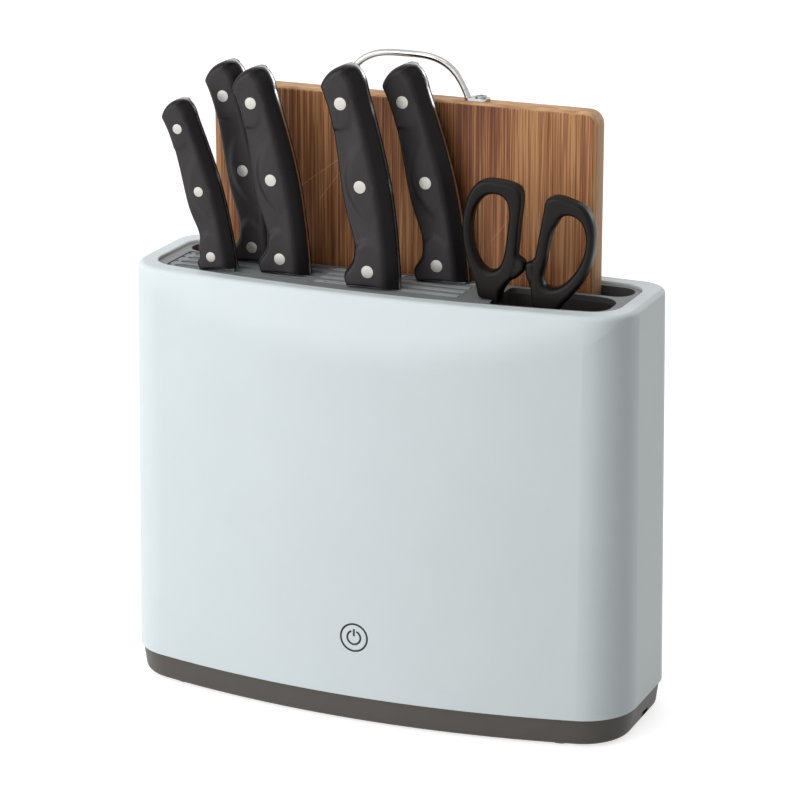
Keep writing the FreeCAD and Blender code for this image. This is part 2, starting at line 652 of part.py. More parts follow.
def heater_frame():
    return duct_ring(FAN_SIZE, DUCT_WALL, FAN_TOP, HEATER_TOP)


def heater_core():
    half = FAN_SIZE / 2 - DUCT_WALL
    low = FAN_TOP + 2.0
    high = HEATER_TOP - 2.0
    bars = []
    for sign in (-1, 1):
        y = FAN_Y + sign * half / 2
        bars.append(box(FAN_X - half, FAN_X + half, y - 1.2, y + 1.2, low, high))
    pitch = (2 * half - 6.0) / (HEATER_FINS - 1)
    for k in range(HEATER_FINS):
        x = FAN_X - half + 3.0 + pitch * k
        bars.append(box(x - HEATER_FIN / 2, x + HEATER_FIN / 2, FAN_Y - half + 1.0,
                        FAN_Y + half - 1.0, low + 1.0, high - 1.0))
    return bars[0].fuse(bars[1:]).removeSplitter()


def control_board():
    y = PCB_Y
    board = box(PCB_RIGHT - PCB_LENGTH, PCB_RIGHT, y - PCB_DEPTH / 2, y + PCB_DEPTH / 2,
                PCB_BOTTOM, PCB_BOTTOM + PCB_THICKNESS)
    corners = [edge for edge in board.Edges if abs(edge.BoundBox.ZLength - PCB_THICKNESS) < 0.01]
    board = board.makeFillet(2.0, corners)
    for sx in (-1, 1):
        for sy in (-1, 1):
            board = board.cut(rod(PCB_RIGHT - PCB_LENGTH / 2 + sx * (PCB_LENGTH / 2 - 4.0),
                                  y + sy * (PCB_DEPTH / 2 - 4.0), PCB_BOTTOM - 1.0,
                                  PCB_BOTTOM + PCB_THICKNESS + 1.0, 1.2))
    return board


def board_parts():
    z = PCB_BOTTOM + PCB_THICKNESS
    x = PCB_RIGHT - PCB_LENGTH / 2
    y = PCB_Y
    parts = [
        box(x - 24.0, x - 6.0, y - 12.0, y + 1.0, z, z + 11.0),
        rod(x + 2.0, y - 8.0, z, z + 12.0, 4.0),
        rod(x + 12.0, y - 8.0, z, z + 12.0, 4.0),
        box(x - 20.0, x - 12.0, y + 4.0, y + 12.0, z, z + 1.2),
        box(x - 6.0, x + 6.0, y + 8.0, y + 14.0, z, z + 7.0),
        box(x + 12.0, x + 22.0, y + 1.0, y + 10.0, z, z + 8.0),
    ]
    return Part.makeCompound(parts)


def power_socket():
    mouth = HALF_WIDTH - SOCKET_SETBACK
    width = PORT_WIDTH - 2 * SOCKET_WALL
    outer = port_bar(mouth - SOCKET_LENGTH, mouth, width, PORT_HEIGHT - SOCKET_WALL)
    inner = port_bar(mouth - SOCKET_LENGTH + 1.5, mouth + 1.0, width - 2 * SOCKET_WALL,
                     PORT_HEIGHT - 3 * SOCKET_WALL)
    tongue = box(mouth - SOCKET_LENGTH + 1.0, mouth - 1.5, PORT_Y - 3.0, PORT_Y + 3.0,
                 SOCKET_Z - 0.35, SOCKET_Z + 0.35)
    return outer.cut(inner).fuse(tongue).removeSplitter()


def key_pad():
    y = key_board_front()
    return Part.makeCylinder(KEY_PAD_RADIUS, KEY_PAD_THICKNESS, V(0, y, KEY_HEIGHT), V(0, -1, 0))


def key_board():
    y = key_board_front()
    return box(-KEY_BOARD_WIDTH / 2, KEY_BOARD_WIDTH / 2, y, y + KEY_BOARD_THICKNESS,
               KEY_HEIGHT - KEY_BOARD_HEIGHT / 2, KEY_HEIGHT + KEY_BOARD_HEIGHT / 2)


def mirrored(shape, sign):
    # The left-hand twin of a piece made for the right-hand end
    if sign > 0:
        return shape
    return shape.mirror(V(0, 0, 0), V(1, 0, 0))


def lamp_board(sign):
    board = box(LAMP_PAD_X - LAMP_BOARD, LAMP_PAD_X, -LAMP_WIDTH / 2, LAMP_WIDTH / 2,
                LAMP_BOTTOM, LAMP_BOTTOM + LAMP_LENGTH)
    return mirrored(board, sign)


def lamp_leds(sign):
    face = LAMP_PAD_X - LAMP_BOARD
    pitch = (LAMP_LENGTH - 24.0) / (LAMP_COUNT - 1)
    leds = []
    for k in range(LAMP_COUNT):
        z = LAMP_BOTTOM + 12.0 + pitch * k
        leds.append(box(face - LED_HEIGHT, face, -LED_SIZE / 2, LED_SIZE / 2,
                        z - LED_SIZE / 2, z + LED_SIZE / 2))
    return mirrored(Part.makeCompound(leds), sign)


def lamp_cover(sign):
    margin = PART_GAP + COVER_WALL
    outer = box(LAMP_PAD_X - COVER_DEPTH, LAMP_PAD_X, -LAMP_WIDTH / 2 - margin,
                LAMP_WIDTH / 2 + margin, LAMP_BOTTOM - margin, LAMP_BOTTOM + LAMP_LENGTH + margin)
    inner = box(LAMP_PAD_X - COVER_DEPTH + COVER_WALL, LAMP_PAD_X + 1.0,
                -LAMP_WIDTH / 2 - PART_GAP, LAMP_WIDTH / 2 + PART_GAP,
                LAMP_BOTTOM - PART_GAP, LAMP_BOTTOM + LAMP_LENGTH + PART_GAP)
    front = [edge for edge in outer.Edges if edge.BoundBox.XMax < LAMP_PAD_X - COVER_DEPTH + 0.01]
    outer = outer.makeFillet(1.0, front)
    return mirrored(outer.cut(inner), sign)


def well_solid(grow, z0, z1):
    # Scissors well: its front and right sides run parallel to the opening
    area = lens_solid(OPENING_PLAN, WELL_END_MARGIN - grow, z0, WELL_END_MARGIN - grow, z1)
    left = WELL_LEFT - grow
    rear = WELL_REAR + grow
    field = box(left, HALF_WIDTH, OPENING_FRONT - 5.0, rear, z0, z1)
    well = area.common(field)
    for edge_x, edge_y, radius in ((left, rear, WELL_LEFT_CORNER + grow),
                                   (WELL_RIGHT + grow, rear, WELL_RIGHT_CORNER + grow)):
        corner = []
        for edge in well.Edges:
            bound = edge.BoundBox
            tall = abs(bound.ZLength - (z1 - z0)) < 0.01
            if tall and abs(bound.XMin - edge_x) < 0.05 and abs(bound.YMin - edge_y) < 0.05:
                corner.append(edge)
        well = well.makeFillet(radius, corner)
    front_left = []
    for edge in well.Edges:
        bound = edge.BoundBox
        tall = abs(bound.ZLength - (z1 - z0)) < 0.01
        if tall and abs(bound.XMin - left) < 0.05 and bound.YMin < 0:
            front_left.append(edge)
    return well.makeFillet(WELL_LEFT_CORNER + grow, front_left[:1])


def slot_solid(grow, z0, z1):
    return lens_solid(SLOT_PLAN, -grow, z0, -grow, z1)


def bank_block(inset, z0, z1):
    # Block with rounded upright edges that fills the slit bank recess less an inset
    rear = SLOT_FRONT - CHUTE_WALL - min(inset, PART_GAP)
    block = box(BANK_LEFT - BANK_END_MARGIN + inset, BANK_RIGHT + BANK_END_MARGIN - inset,
                ROWS[0] - BANK_FRONT_MARGIN + inset, rear, z0, z1)
    upright = [e for e in block.Edges if abs(e.BoundBox.ZLength - (z1 - z0)) < 0.01]
    front = [e for e in upright if e.BoundBox.YMax < 0]
    return block.makeFillet(BANK_CORNER - inset, front)


def insert_frame():
    plate = lens_solid(OPENING_PLAN, INSERT_CLEARANCE, LEDGE_TOP, INSERT_CLEARANCE, INSERT_TOP)
    chute = slot_solid(CHUTE_WALL, LEDGE_TOP - CHUTE_DEPTH, LEDGE_TOP + 0.5)
    plate = plate.fuse(chute)
    plate = plate.cut(slot_solid(0.0, LEDGE_TOP - CHUTE_DEPTH - 1.0, INSERT_TOP + 1.0))
    plate = plate.cut(well_solid(0.0, LEDGE_TOP - 1.0, INSERT_TOP + 1.0))
    plate = plate.cut(bank_block(0.0, LEDGE_TOP + 1.0, INSERT_TOP + 1.0))
    plate = plate.cut(bank_block(BANK_LEDGE, LEDGE_TOP - 1.0, INSERT_TOP))
    return plate.removeSplitter()


def bank_groups():
    # The left group has plain slits, the right group has soft lips
    return ((BANK_LEFT, BANK_MIDDLE - BANK_BRIDGE / 2), (BANK_MIDDLE + BANK_BRIDGE / 2, BANK_RIGHT))


def slit_plate():
    plate = bank_block(0.2, LEDGE_TOP + 1.0, BANK_TOP)
    skirt = bank_block(BANK_LEDGE + 0.3, LEDGE_TOP - BANK_SKIRT, BANK_TOP)
    plate = plate.fuse(skirt).removeSplitter()
    low = LEDGE_TOP - BANK_SKIRT - 1.0
    left, right = bank_groups()
    ribs = []
    for y in ROWS:
        plate = plate.cut(rounded_bar(left[0], left[1], y, SLIT_WIDTH, low, RIB_TOP + 1.0))
        plate = plate.cut(rounded_bar(right[0], right[1], y, SLIT_WIDTH, low, RIB_TOP + 1.0))
        groove = box(right[0] - 1.0, right[1] + 1.0, y - LIP_WIDTH / 2, y + LIP_WIDTH / 2,
                     BANK_TOP - LIP_THICKNESS, RIB_TOP + 1.0)
        plate = plate.cut(groove)
        marker = rod(left[0] - 2.6, y, BANK_TOP - 1.2, RIB_TOP + 1.0, MARKER_RADIUS)
        plate = plate.cut(marker)
        for sign in (-1, 1):
            rib_y = y + sign * (SLIT_WIDTH / 2 + RIB_WIDTH / 2 + 0.4)
            ribs.append(box(left[0] + 2.0, left[1], rib_y - RIB_WIDTH / 2, rib_y + RIB_WIDTH / 2,
                            BANK_TOP - 0.2, RIB_TOP))
    return plate.fuse(ribs).removeSplitter()


def soft_lips():
    # Light strips in the right-hand rows, opened only where a blade stands
    x0, x1 = bank_groups()[1]
    strips = []
    for row, y in enumerate(ROWS):
        strip = box(x0 - 0.8, x1 + 0.8, y - LIP_WIDTH / 2 + 0.1, y + LIP_WIDTH / 2 - 0.1,
                    BANK_TOP - LIP_THICKNESS, RIB_TOP - 0.1)
        strips.append(strip)
    for name, knife in KNIVES.items():
        x = knife_x(knife)
        if x > BANK_MIDDLE:
            row = knife["row"]
            lean = abs(math.tan(math.radians(knife["lean"]))) * 6.0
            half = knife["thickness"] / 2 + PART_GAP
            slot = box(x - knife["heel"] - 4.0 - lean, x + 1.0 + lean,
                       ROWS[row] - half, ROWS[row] + half, BANK_TOP - LIP_THICKNESS - 1.0, RIB_TOP + 1.0)
            strips[row] = strips[row].cut(slot)
    return Part.makeCompound(strips)


def scissors_cup():
    top = LEDGE_TOP
    bottom = top - CUP_DEPTH
    cup = well_solid(CUP_WALL, bottom, top)
    cup = cup.cut(well_solid(0.0, bottom + CUP_WALL, top + 1.0))
    count = 3
    first = (WELL_LEFT + WELL_RIGHT) / 2 - CUP_WINDOW_PITCH * (count - 1) / 2
    for k in range(count):
        x = first + CUP_WINDOW_PITCH * k
        cup = cup.cut(box(x - CUP_WINDOW_WIDTH / 2, x + CUP_WINDOW_WIDTH / 2,
                          OPENING_FRONT - 5.0, WELL_REAR + 5.0, bottom + 14.0, top - 20.0))
        cup = cup.cut(rod(x, (OPENING_FRONT + WELL_REAR) / 2 + 4.0, bottom - 1.0, bottom + 5.0, 2.6))
    return cup.removeSplitter()


def board_slab():
    half = BOARD_WIDTH / 2
    slab = box(BOARD_SHIFT - half, BOARD_SHIFT + half, BOARD_Y - BOARD_THICKNESS / 2,
               BOARD_Y + BOARD_THICKNESS / 2, BOARD_BOTTOM, BOARD_TOP)
    across = [edge for edge in slab.Edges if abs(edge.BoundBox.YLength - BOARD_THICKNESS) < 0.01]
    slab = slab.makeFillet(BOARD_CORNER_RADIUS, across)
    around = [edge for edge in slab.Edges if edge.BoundBox.YLength < 0.01]
    slab = slab.makeFillet(BOARD_EDGE_RADIUS, around)
    for x in tab_places():
        slab = slab.cut(rod(x, BOARD_Y, BOARD_TOP - BOARD_SCREW_LENGTH, BOARD_TOP + 1.0,
                            BOARD_SCREW_RADIUS + 0.02))
    return slab


def tab_places():
    reach = HANDLE_SPAN / 2 + TAB_LENGTH * 0.5
    return [BOARD_SHIFT - reach, BOARD_SHIFT + reach]


def board_handle():
    # Bent round rod with a flattened, screwed tab at each foot
    z0 = BOARD_TOP + TAB_THICKNESS / 2
    z1 = BOARD_TOP + HANDLE_RISE
    half = HANDLE_SPAN / 2
    bend = HANDLE_BEND
    low = V(half, 0, z0)
    knee = V(half - 3.0, 0, z0 + 6.5)
    turn = V(half - 3.0 - bend * 0.55, 0, z1 - bend * 0.42)
    high = V(half - 6.0 - bend, 0, z1 - 1.2)
    path = Part.BSplineCurve()
    path.interpolate(Points=[V(-p.x, p.y, p.z) for p in (low, knee, turn, high)]
                     + [V(0, 0, z1)] + [high, turn, knee, low])
    wire = Part.Wire(path.toShape())
    start = V(-low.x, low.y, low.z)
    tangent = path.tangent(path.FirstParameter)[0]
    section = Part.Wire(Part.makeCircle(ROD_RADIUS, start, tangent))
    arch = wire.makePipeShell([section], True, False)
    tabs = []
    for sign in (-1, 1):
        x = sign * (half + TAB_LENGTH / 2 - 2.0)
        tab = rounded_bar(x - TAB_LENGTH / 2, x + TAB_LENGTH / 2, 0, TAB_WIDTH,
                          BOARD_TOP, BOARD_TOP + TAB_THICKNESS)
        tab = tab.cut(rod(sign * (half + TAB_LENGTH * 0.5), 0, BOARD_TOP - 1.0,
                          BOARD_TOP + TAB_THICKNESS + 1.0, BOARD_SCREW_RADIUS + 0.1))
        tabs.append(tab)
    floor = box(-half - 20.0, half + 20.0, -8.0, 8.0, BOARD_TOP, BOARD_TOP + HANDLE_RISE + 9.0)
    arch = arch.common(floor)
    handle = arch.fuse(tabs)
    handle.translate(V(BOARD_SHIFT, BOARD_Y, 0))
    return handle.removeSplitter()


def board_screws():
    screws = []
    for x in tab_places():
        top = BOARD_TOP + TAB_THICKNESS
        head = rod(x, BOARD_Y, top, top + BOARD_SCREW_HEAD, 3.1)
        crown = [edge for edge in head.Edges if edge.BoundBox.ZMin > top + BOARD_SCREW_HEAD - 0.01]
        head = head.makeFillet(BOARD_SCREW_HEAD * 0.7, crown)
        shank = rod(x, BOARD_Y, top - BOARD_SCREW_LENGTH + 1.0, top + 0.2, BOARD_SCREW_RADIUS)
        screws.append(head.fuse(shank).removeSplitter())
    return Part.makeCompound(screws)


def knife_x(knife):
    return BANK_LEFT + (BANK_RIGHT - BANK_LEFT) * knife["place"]


def handle_outline(size, flare, y, spine_inset=0.0, rim_inset=0.0):
    # Closed outline in the XZ plane, foot at Z = 0, spine corner at X = 0
    def at(height, across):
        return V(across * size, y, height * size)

    slim = flare + rim_inset
    spine = [at(height, across - spine_inset) for height, across in SPINE_POINTS]
    belly = []
    for k, (height, across) in enumerate(BELLY_POINTS):
        belly.append(at(height, across + (slim if k < FLARE_POINT_COUNT else rim_inset)))
    shoulder = at(HANDLE_SHOULDER[0] - rim_inset, HANDLE_SHOULDER[1] - spine_inset * 0.7)
    top = at(HANDLE_TOP[0] - rim_inset, HANDLE_TOP[1] - spine_inset * 0.5)
    butt = at(HANDLE_BUTT[0] - rim_inset * 0.9, HANDLE_BUTT[1] + rim_inset * 0.5)
    toe = at(HANDLE_TOE[0] + rim_inset * 0.15, HANDLE_TOE[1] + slim * 0.9)
    sole = at(HANDLE_SOLE[0], HANDLE_SOLE[1] + slim)
    arch = at(FOOT_ARCH, (HANDLE_SOLE[1] + slim - spine_inset) / 2)
    spine_curve = Part.BSplineCurve()
    spine_curve.interpolate(Points=spine)
    belly_curve = Part.BSplineCurve()
    belly_curve.interpolate(Points=belly)
    edges = [
        spine_curve.toShape(),
        Part.Arc(spine[-1], shoulder, top).toShape(),
        Part.Arc(top, butt, belly[-1]).toShape(),
        belly_curve.toShape(),
        Part.Arc(belly[0], toe, sole).toShape(),
        Part.Arc(sole, arch, spine[0]).toShape(),
    ]
    return Part.Wire(Part.__sortEdges__(edges))


def finger_hollow(across, height, tilt, size, side):
    # Round trough that runs aslant over the grip between two rivets
    radius = HOLLOW_RADIUS * size
    turn = math.radians(tilt)
    along = V(math.cos(turn), 0, math.sin(turn))
    rise = (HANDLE_THICKNESS / 2 - HOLLOW_DEPTH) * size + radius
    centre = V(across * size, side * rise, height * size)
    return Part.makeCylinder(radius, 2 * radius, centre - along * radius, along)


def handle_scale(knife, side):
    # One moulded grip: bevelled spine, rounded rim, two finger hollows, rivet holes
    size = knife["size"]
    flare = knife["flare"]
    tang = knife["thickness"] / 2
    face = HANDLE_THICKNESS * size / 2
    wires = [handle_outline(size, flare, side * tang)]
    for step in range(BEVEL_STEPS + 1):
        turn = math.radians(90.0 * step / BEVEL_STEPS)
        depth = BEVEL_DEPTH * size * (1.0 - math.sin(turn))
        share = 1.0 - math.cos(turn)
        wires.append(handle_outline(size, flare, side * (face - depth),
                                    BEVEL_WIDTH * share, EDGE_ROUND * share))
    scale = Part.makeLoft(wires, True, True)
    for across, height, tilt in HOLLOW_PLACES:
        scale = scale.cut(finger_hollow(across, height, tilt, size, side))
    for height, across in RIVET_PLACES:
        hole = Part.makeCylinder(RIVET_RADIUS * size + 0.02, 30.0,
                                 V(across * size, -15.0, height * size), V(0, 1, 0))
        scale = scale.cut(hole)
    return scale.removeSplitter()


def rivets(knife):
    size = knife["size"]
    reach = HANDLE_THICKNESS * size / 2 + RIVET_PROUD
    pins = []
    for height, across in RIVET_PLACES:
        pins.append(Part.makeCylinder(RIVET_RADIUS * size, 2 * reach,
                                      V(across * size, -reach, height * size), V(0, 1, 0)))
    return Part.makeCompound(pins)


def blade_outline(knife, y):
    # Blade below the foot: shoulder, heel, curved edge, tip and back
    length = knife["length"]
    heel = knife["heel"]
    back_x = -BLADE_SETBACK
    edge_x = back_x - heel
    shoulder = max(edge_x + 2.0, -SHOULDER_WIDTH * knife["size"])
    tip = V(back_x - heel * (1.0 - knife["tip"]), y, -length)
    belly = Part.BSplineCurve()
    belly.interpolate(Points=[V(edge_x, y, -HEEL_DROP), V(edge_x + heel * 0.06, y, -length * 0.55),
                              V(edge_x + heel * 0.30, y, -length * 0.84), tip])
    back = Part.BSplineCurve()
    back.interpolate(Points=[tip, V(tip.x * 0.35 + back_x * 0.65, y, -length * 0.86),
                             V(back_x - heel * 0.02, y, -length * 0.6), V(back_x, y, 0.0)])
    edges = [
        Part.makeLine(V(back_x, y, 0.0), V(shoulder, y, 0.0)),
        Part.makeLine(V(shoulder, y, 0.0), V(edge_x, y, -HEEL_DROP)),
        belly.toShape(),
        back.toShape(),
    ]
    return Part.Wire(Part.__sortEdges__(edges))


def knife_blade(knife):
    size = knife["size"]
    thickness = knife["thickness"]
    half = thickness / 2
    blade = Part.Face(blade_outline(knife, -half)).extrude(V(0, thickness, 0))
    edge_x = -BLADE_SETBACK - knife["heel"]
    grind = knife["heel"] * GRIND_SHARE
    slope = (half - EDGE_HALF_THICKNESS) / grind
    for side in (-1, 1):
        start = side * (EDGE_HALF_THICKNESS - slope * 4.0)
        wedge = [V(edge_x - 4.0, start, 5.0), V(edge_x + grind, side * half, 5.0),
                 V(edge_x + grind, side * (half + 5.0), 5.0), V(edge_x - 4.0, side * (half + 5.0), 5.0)]
        face = Part.Face(Part.makePolygon(wedge + wedge[:1]))
        blade = blade.cut(face.extrude(V(0, 0, -knife["length"] - 15.0)))
    tang = Part.Face(handle_outline(size, knife["flare"], -half)).extrude(V(0, thickness, 0))
    neck = box(-BLADE_SETBACK - SHOULDER_WIDTH * size * 0.6, -BLADE_SETBACK, -half, half, -0.5, 3.0)
    blade = blade.fuse([tang, neck])
    for height, across in RIVET_PLACES:
        hole = Part.makeCylinder(RIVET_RADIUS * size + 0.02, 30.0,
                                 V(across * size, -15.0, height * size), V(0, 1, 0))
        blade = blade.cut(hole)
    return blade.removeSplitter()


def stand_knife(shape, knife):
    # Lean about the foot, then stand the knife in its row on its lower corner
    placed = shape.copy()
    placed.rotate(V(0, 0, 0), V(0, 1, 0), -knife["lean"])
    foot = (-HANDLE_SOLE[1] - knife["flare"]) * knife["size"]
    lift = max(0.0, foot * math.sin(math.radians(knife["lean"])))
    placed.translate(V(knife_x(knife), ROWS[knife["row"]], KNIFE_FOOT + lift))
    return placed


# Scissors outlines measured from the joint: across, height. The loops differ.
LEFT_LOOP = [(-27.6, 27.4), (-32.4, 40.2), (-34.8, 54.8),
             (-33.3, 68.0), (-28.8, 77.8), (-23.6, 81.7), (-16.8, 82.2), (-7.6, 80.9),
             (-4.0, 78.9), (-2.7, 74.2), (-3.8, 61.6), (-5.2, 46.0), (-8.0, 31.6)]
LEFT_HEEL = -25.9
LEFT_STEM = [(-13.2, 24.4), (-14.0, 18.6), (-10.0, 12.0), (-3.0, 9.0), (-3.0, 4.0)]
LEFT_HOLE = [(-25.2, 71.9), (-29.0, 65.6), (-30.6, 56.0), (-29.2, 45.6), (-25.4, 37.6),
             (-21.0, 34.4), (-16.6, 34.8), (-13.0, 39.0), (-11.0, 46.4), (-9.7, 57.0),
             (-9.2, 67.0), (-11.6, 73.0), (-17.2, 75.2)]
LEFT_LUG = [(-9.0, 46.0), (-4.4, 43.6), (-2.0, 42.2), (-1.0, 40.8), (-1.0, 36.4), (-3.1, 34.0),
            (-5.8, 31.7), (-9.4, 29.6), (-12.0, 31.0)]
RIGHT_LOOP = [(3.3, 19.0), (3.2, 31.0), (4.6, 44.4), (7.0, 58.0), (9.2, 70.4), (10.7, 74.8),
              (14.2, 76.7), (23.0, 75.4), (30.2, 72.6), (34.4, 66.6), (36.1, 57.7),
              (35.0, 46.6), (30.4, 34.0), (24.0, 25.6), (18.7, 19.5)]
RIGHT_STEM = [(12.6, 8.0), (9.0, 2.0), (0.6, 6.0)]
RIGHT_HOLE = [(15.0, 62.0), (12.4, 56.8), (10.6, 48.4), (9.0, 40.0), (8.0, 33.4), (9.8, 29.4),
              (14.0, 28.4), (18.4, 29.8), (24.4, 35.2), (29.4, 43.0), (31.8, 51.0),
              (31.8, 58.6), (28.6, 65.4), (22.8, 67.8), (18.0, 66.4)]
RIGHT_LUG = [(6.8, 45.0), (3.9, 43.6), (1.9, 42.0), (-0.1, 41.0), (-1.0, 40.4), (-1.0, 34.4),
             (1.0, 30.2), (2.1, 26.7), (3.3, 20.0), (6.0, 21.0)]
BLADE_BACK = [(9.0, 0.0), (11.0, -10.0), (10.6, -25.0), (9.3, -42.0), (6.0, -72.0)]
BLADE_EDGE = [(-0.6, -92.0), (-2.6, -56.0), (-3.0, -20.0), (-8.0, -7.0), (-9.0, 0.0)]


def stem_crook():
    # Inner corner of the left stem, which hooks over the edge of the well
    return V(WELL_LEFT - PIVOT.x + STEM_PLAY, 0, PIVOT_DROP + PART_GAP)


def left_stem_foot():
    # The left stem stands on the frame beside the well and dips into the well
    crook = stem_crook()
    return LEFT_STEM + [(crook.x, 4.0), (crook.x, crook.z), (LEFT_HEEL, crook.z)]


def smooth_prism(points, half_depth, closed):
    # Upright prism of a smooth outline across Y, or only its open curve
    curve = Part.BSplineCurve()
    curve.interpolate(Points=[V(x, -half_depth, z) for x, z in points], PeriodicFlag=closed)
    if not closed:
        return curve.toShape()
    return Part.Face(Part.Wire(curve.toShape())).extrude(V(0, 2 * half_depth, 0))


def scissor_handle(sign):
    # One outline for loop and stem, with every rim rounded for the fingers
    loop, foot, hole, lug = LEFT_LOOP, left_stem_foot(), LEFT_HOLE, LEFT_LUG
    if sign > 0:
        loop, foot, hole, lug = RIGHT_LOOP, RIGHT_STEM, RIGHT_HOLE, RIGHT_LUG
    half = SCISSOR_HANDLE / 2
    ends = [V(x, -half, z) for x, z in [loop[-1]] + foot + [loop[0]]]
    outline = [smooth_prism(loop, half, False)] + Part.makePolygon(ends).Edges
    grip = Part.Face(Part.Wire(outline)).extrude(V(0, SCISSOR_HANDLE, 0))
    crook = stem_crook()
    corners = []
    for edge in grip.Edges:
        bound = edge.BoundBox
        at_crook = abs(bound.XMin - crook.x) < 0.1 and bound.ZMin > crook.z - 0.1
        if abs(bound.YLength - SCISSOR_HANDLE) < 0.01 and not at_crook:
            corners.append(edge)
    grip = grip.makeFillet(STEM_CORNER, corners)
    rims = [edge for edge in grip.Edges if edge.BoundBox.YLength < 0.01]
    grip = grip.makeFillet(LOOP_ROUND, rims)
    grip = grip.cut(smooth_prism(hole, half, True))
    inner = hole_box(hole)
    rims = [e for e in grip.Edges if e.BoundBox.YLength < 0.01 and inner.isInside(e.BoundBox)]
    grip = grip.makeFillet(HOLE_ROUND, rims)
    grip = grip.fuse(stop_lug(lug, sign))
    grip = grip.cut(Part.makeCylinder(JOINT_CLEAR, 20.0, V(0, -10.0, 0), V(0, 1, 0)))
    return grip.cut(scissor_plate(sign)).removeSplitter()


def hole_box(hole):
    # Room that holds the finger hole's rims and nothing of the outer rims
    room = FreeCAD.BoundBox()
    for x, z in hole:
        room.add(V(x, -SCISSOR_HANDLE, z))
        room.add(V(x, SCISSOR_HANDLE, z))
    room.enlarge(1.0)
    return room


def stop_lug(points, sign):
    # Small nose that meets its twin when the scissors are shut
    corners = [V(x + sign * PART_GAP / 2, -LUG_HALF_DEPTH, z) for x, z in points]
    face = Part.Face(Part.makePolygon(corners + corners[:1]))
    return face.extrude(V(0, 2 * LUG_HALF_DEPTH, 0))


def scissor_plate(sign):
    # Flat steel half: shank inside the stem, round joint, blade on the other side
    shank = [(-11.5, 5.5), (-15.2, 15.5), (-12.9, 15.5), (-3.0, 10.5), (5.5, 6.5)]
    tip = (1.5, -SCISSOR_BLADE_LENGTH)
    points = shank + BLADE_BACK + [tip] + BLADE_EDGE
    corners = [V(-sign * x, 0, z) for x, z in points]
    plate = Part.Face(Part.makePolygon(corners + corners[:1])).extrude(V(0, SCISSOR_BLADE, 0))
    shift = SCISSOR_BLADE_GAP / 2
    if sign > 0:
        shift = -shift - SCISSOR_BLADE
    plate.translate(V(0, shift, 0))
    return plate


def scissor_blade(sign):
    plate = scissor_plate(sign)
    return plate.cut(Part.makeCylinder(PIN_RADIUS + 0.05, 20.0, V(0, -10.0, 0), V(0, 1, 0)))


def scissor_screw():
    reach = SCISSOR_BLADE + SCISSOR_BLADE_GAP
    pin = Part.makeCylinder(PIN_RADIUS, 2 * reach, V(0, -reach, 0), V(0, 1, 0))
    heads = []
    for sign in (-1, 1):
        heads.append(Part.makeCylinder(4.2, 1.3, V(0, sign * reach, 0), V(0, sign, 0)))
    return pin.fuse(heads).removeSplitter()


def stand_scissors(shape):
    placed = shape.copy()
    placed.translate(PIVOT)
    return placed


def build():
    os.makedirs("parts", exist_ok=True)
    save("outer_shell", outer_shell())
    save("base_shell", base_shell())
    for k, (x, y) in enumerate(foot_places()):
        save("foot_%d" % (k + 1), foot(x, y))
    save("base_screws", base_screws())
    save("chamber_deck", chamber_deck())
    save("drip_tray", drip_tray())
    save("fan_frame", fan_frame())
    save("fan_rotor", fan_rotor())
    save("heater_frame", heater_frame())
    save("heater_core", heater_core())
    save("control_board", control_board())
    save("board_parts", board_parts())
    save("power_socket", power_socket())
    save("key_board", key_board())
    save("key_pad", key_pad())
    for label, sign in (("left", -1), ("right", 1)):
        save("lamp_board_" + label, lamp_board(sign))
        save("lamp_leds_" + label, lamp_leds(sign))
        save("lamp_cover_" + label, lamp_cover(sign))
    save("insert_frame", insert_frame())
    save("slit_plate", slit_plate())
    save("soft_lips", soft_lips())
    save("scissors_cup", scissors_cup())
    save("board_slab", board_slab())
    save("board_handle", board_handle())
    save("board_screws", board_screws())
    for name, knife in KNIVES.items():
        save(name + "_blade", stand_knife(knife_blade(knife), knife))
        save(name + "_grip_front", stand_knife(handle_scale(knife, -1), knife))
        save(name + "_grip_rear", stand_knife(handle_scale(knife, 1), knife))
        save(name + "_rivets", stand_knife(rivets(knife), knife))
    for label, sign in (("left", -1), ("right", 1)):
        save("scissors_blade_" + label, stand_scissors(scissor_blade(sign)))
        save("scissors_grip_" + label, stand_scissors(scissor_handle(sign)))
    save("scissors_screw", stand_scissors(scissor_screw()))


build()
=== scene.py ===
# %% [markdown]
# # Knife steriliser cabinet
#
# A slim counter-top cabinet in pale, faintly blue-green plastic on a dark base. Five
# black-handled knives, kitchen scissors and a bamboo cutting board stand in its grey
# insert. The CAD model gives every size, so this lesson is about the rest: how each
# surface is built from nodes, how the grips, rivets, screws and the printed sign get the
# fine shapes that the CAD leaves out, and how the studio shows it all.

# %% Load the fixed frame
import json
import math

import bmesh
import bpy
import numpy as np
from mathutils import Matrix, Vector, geometry


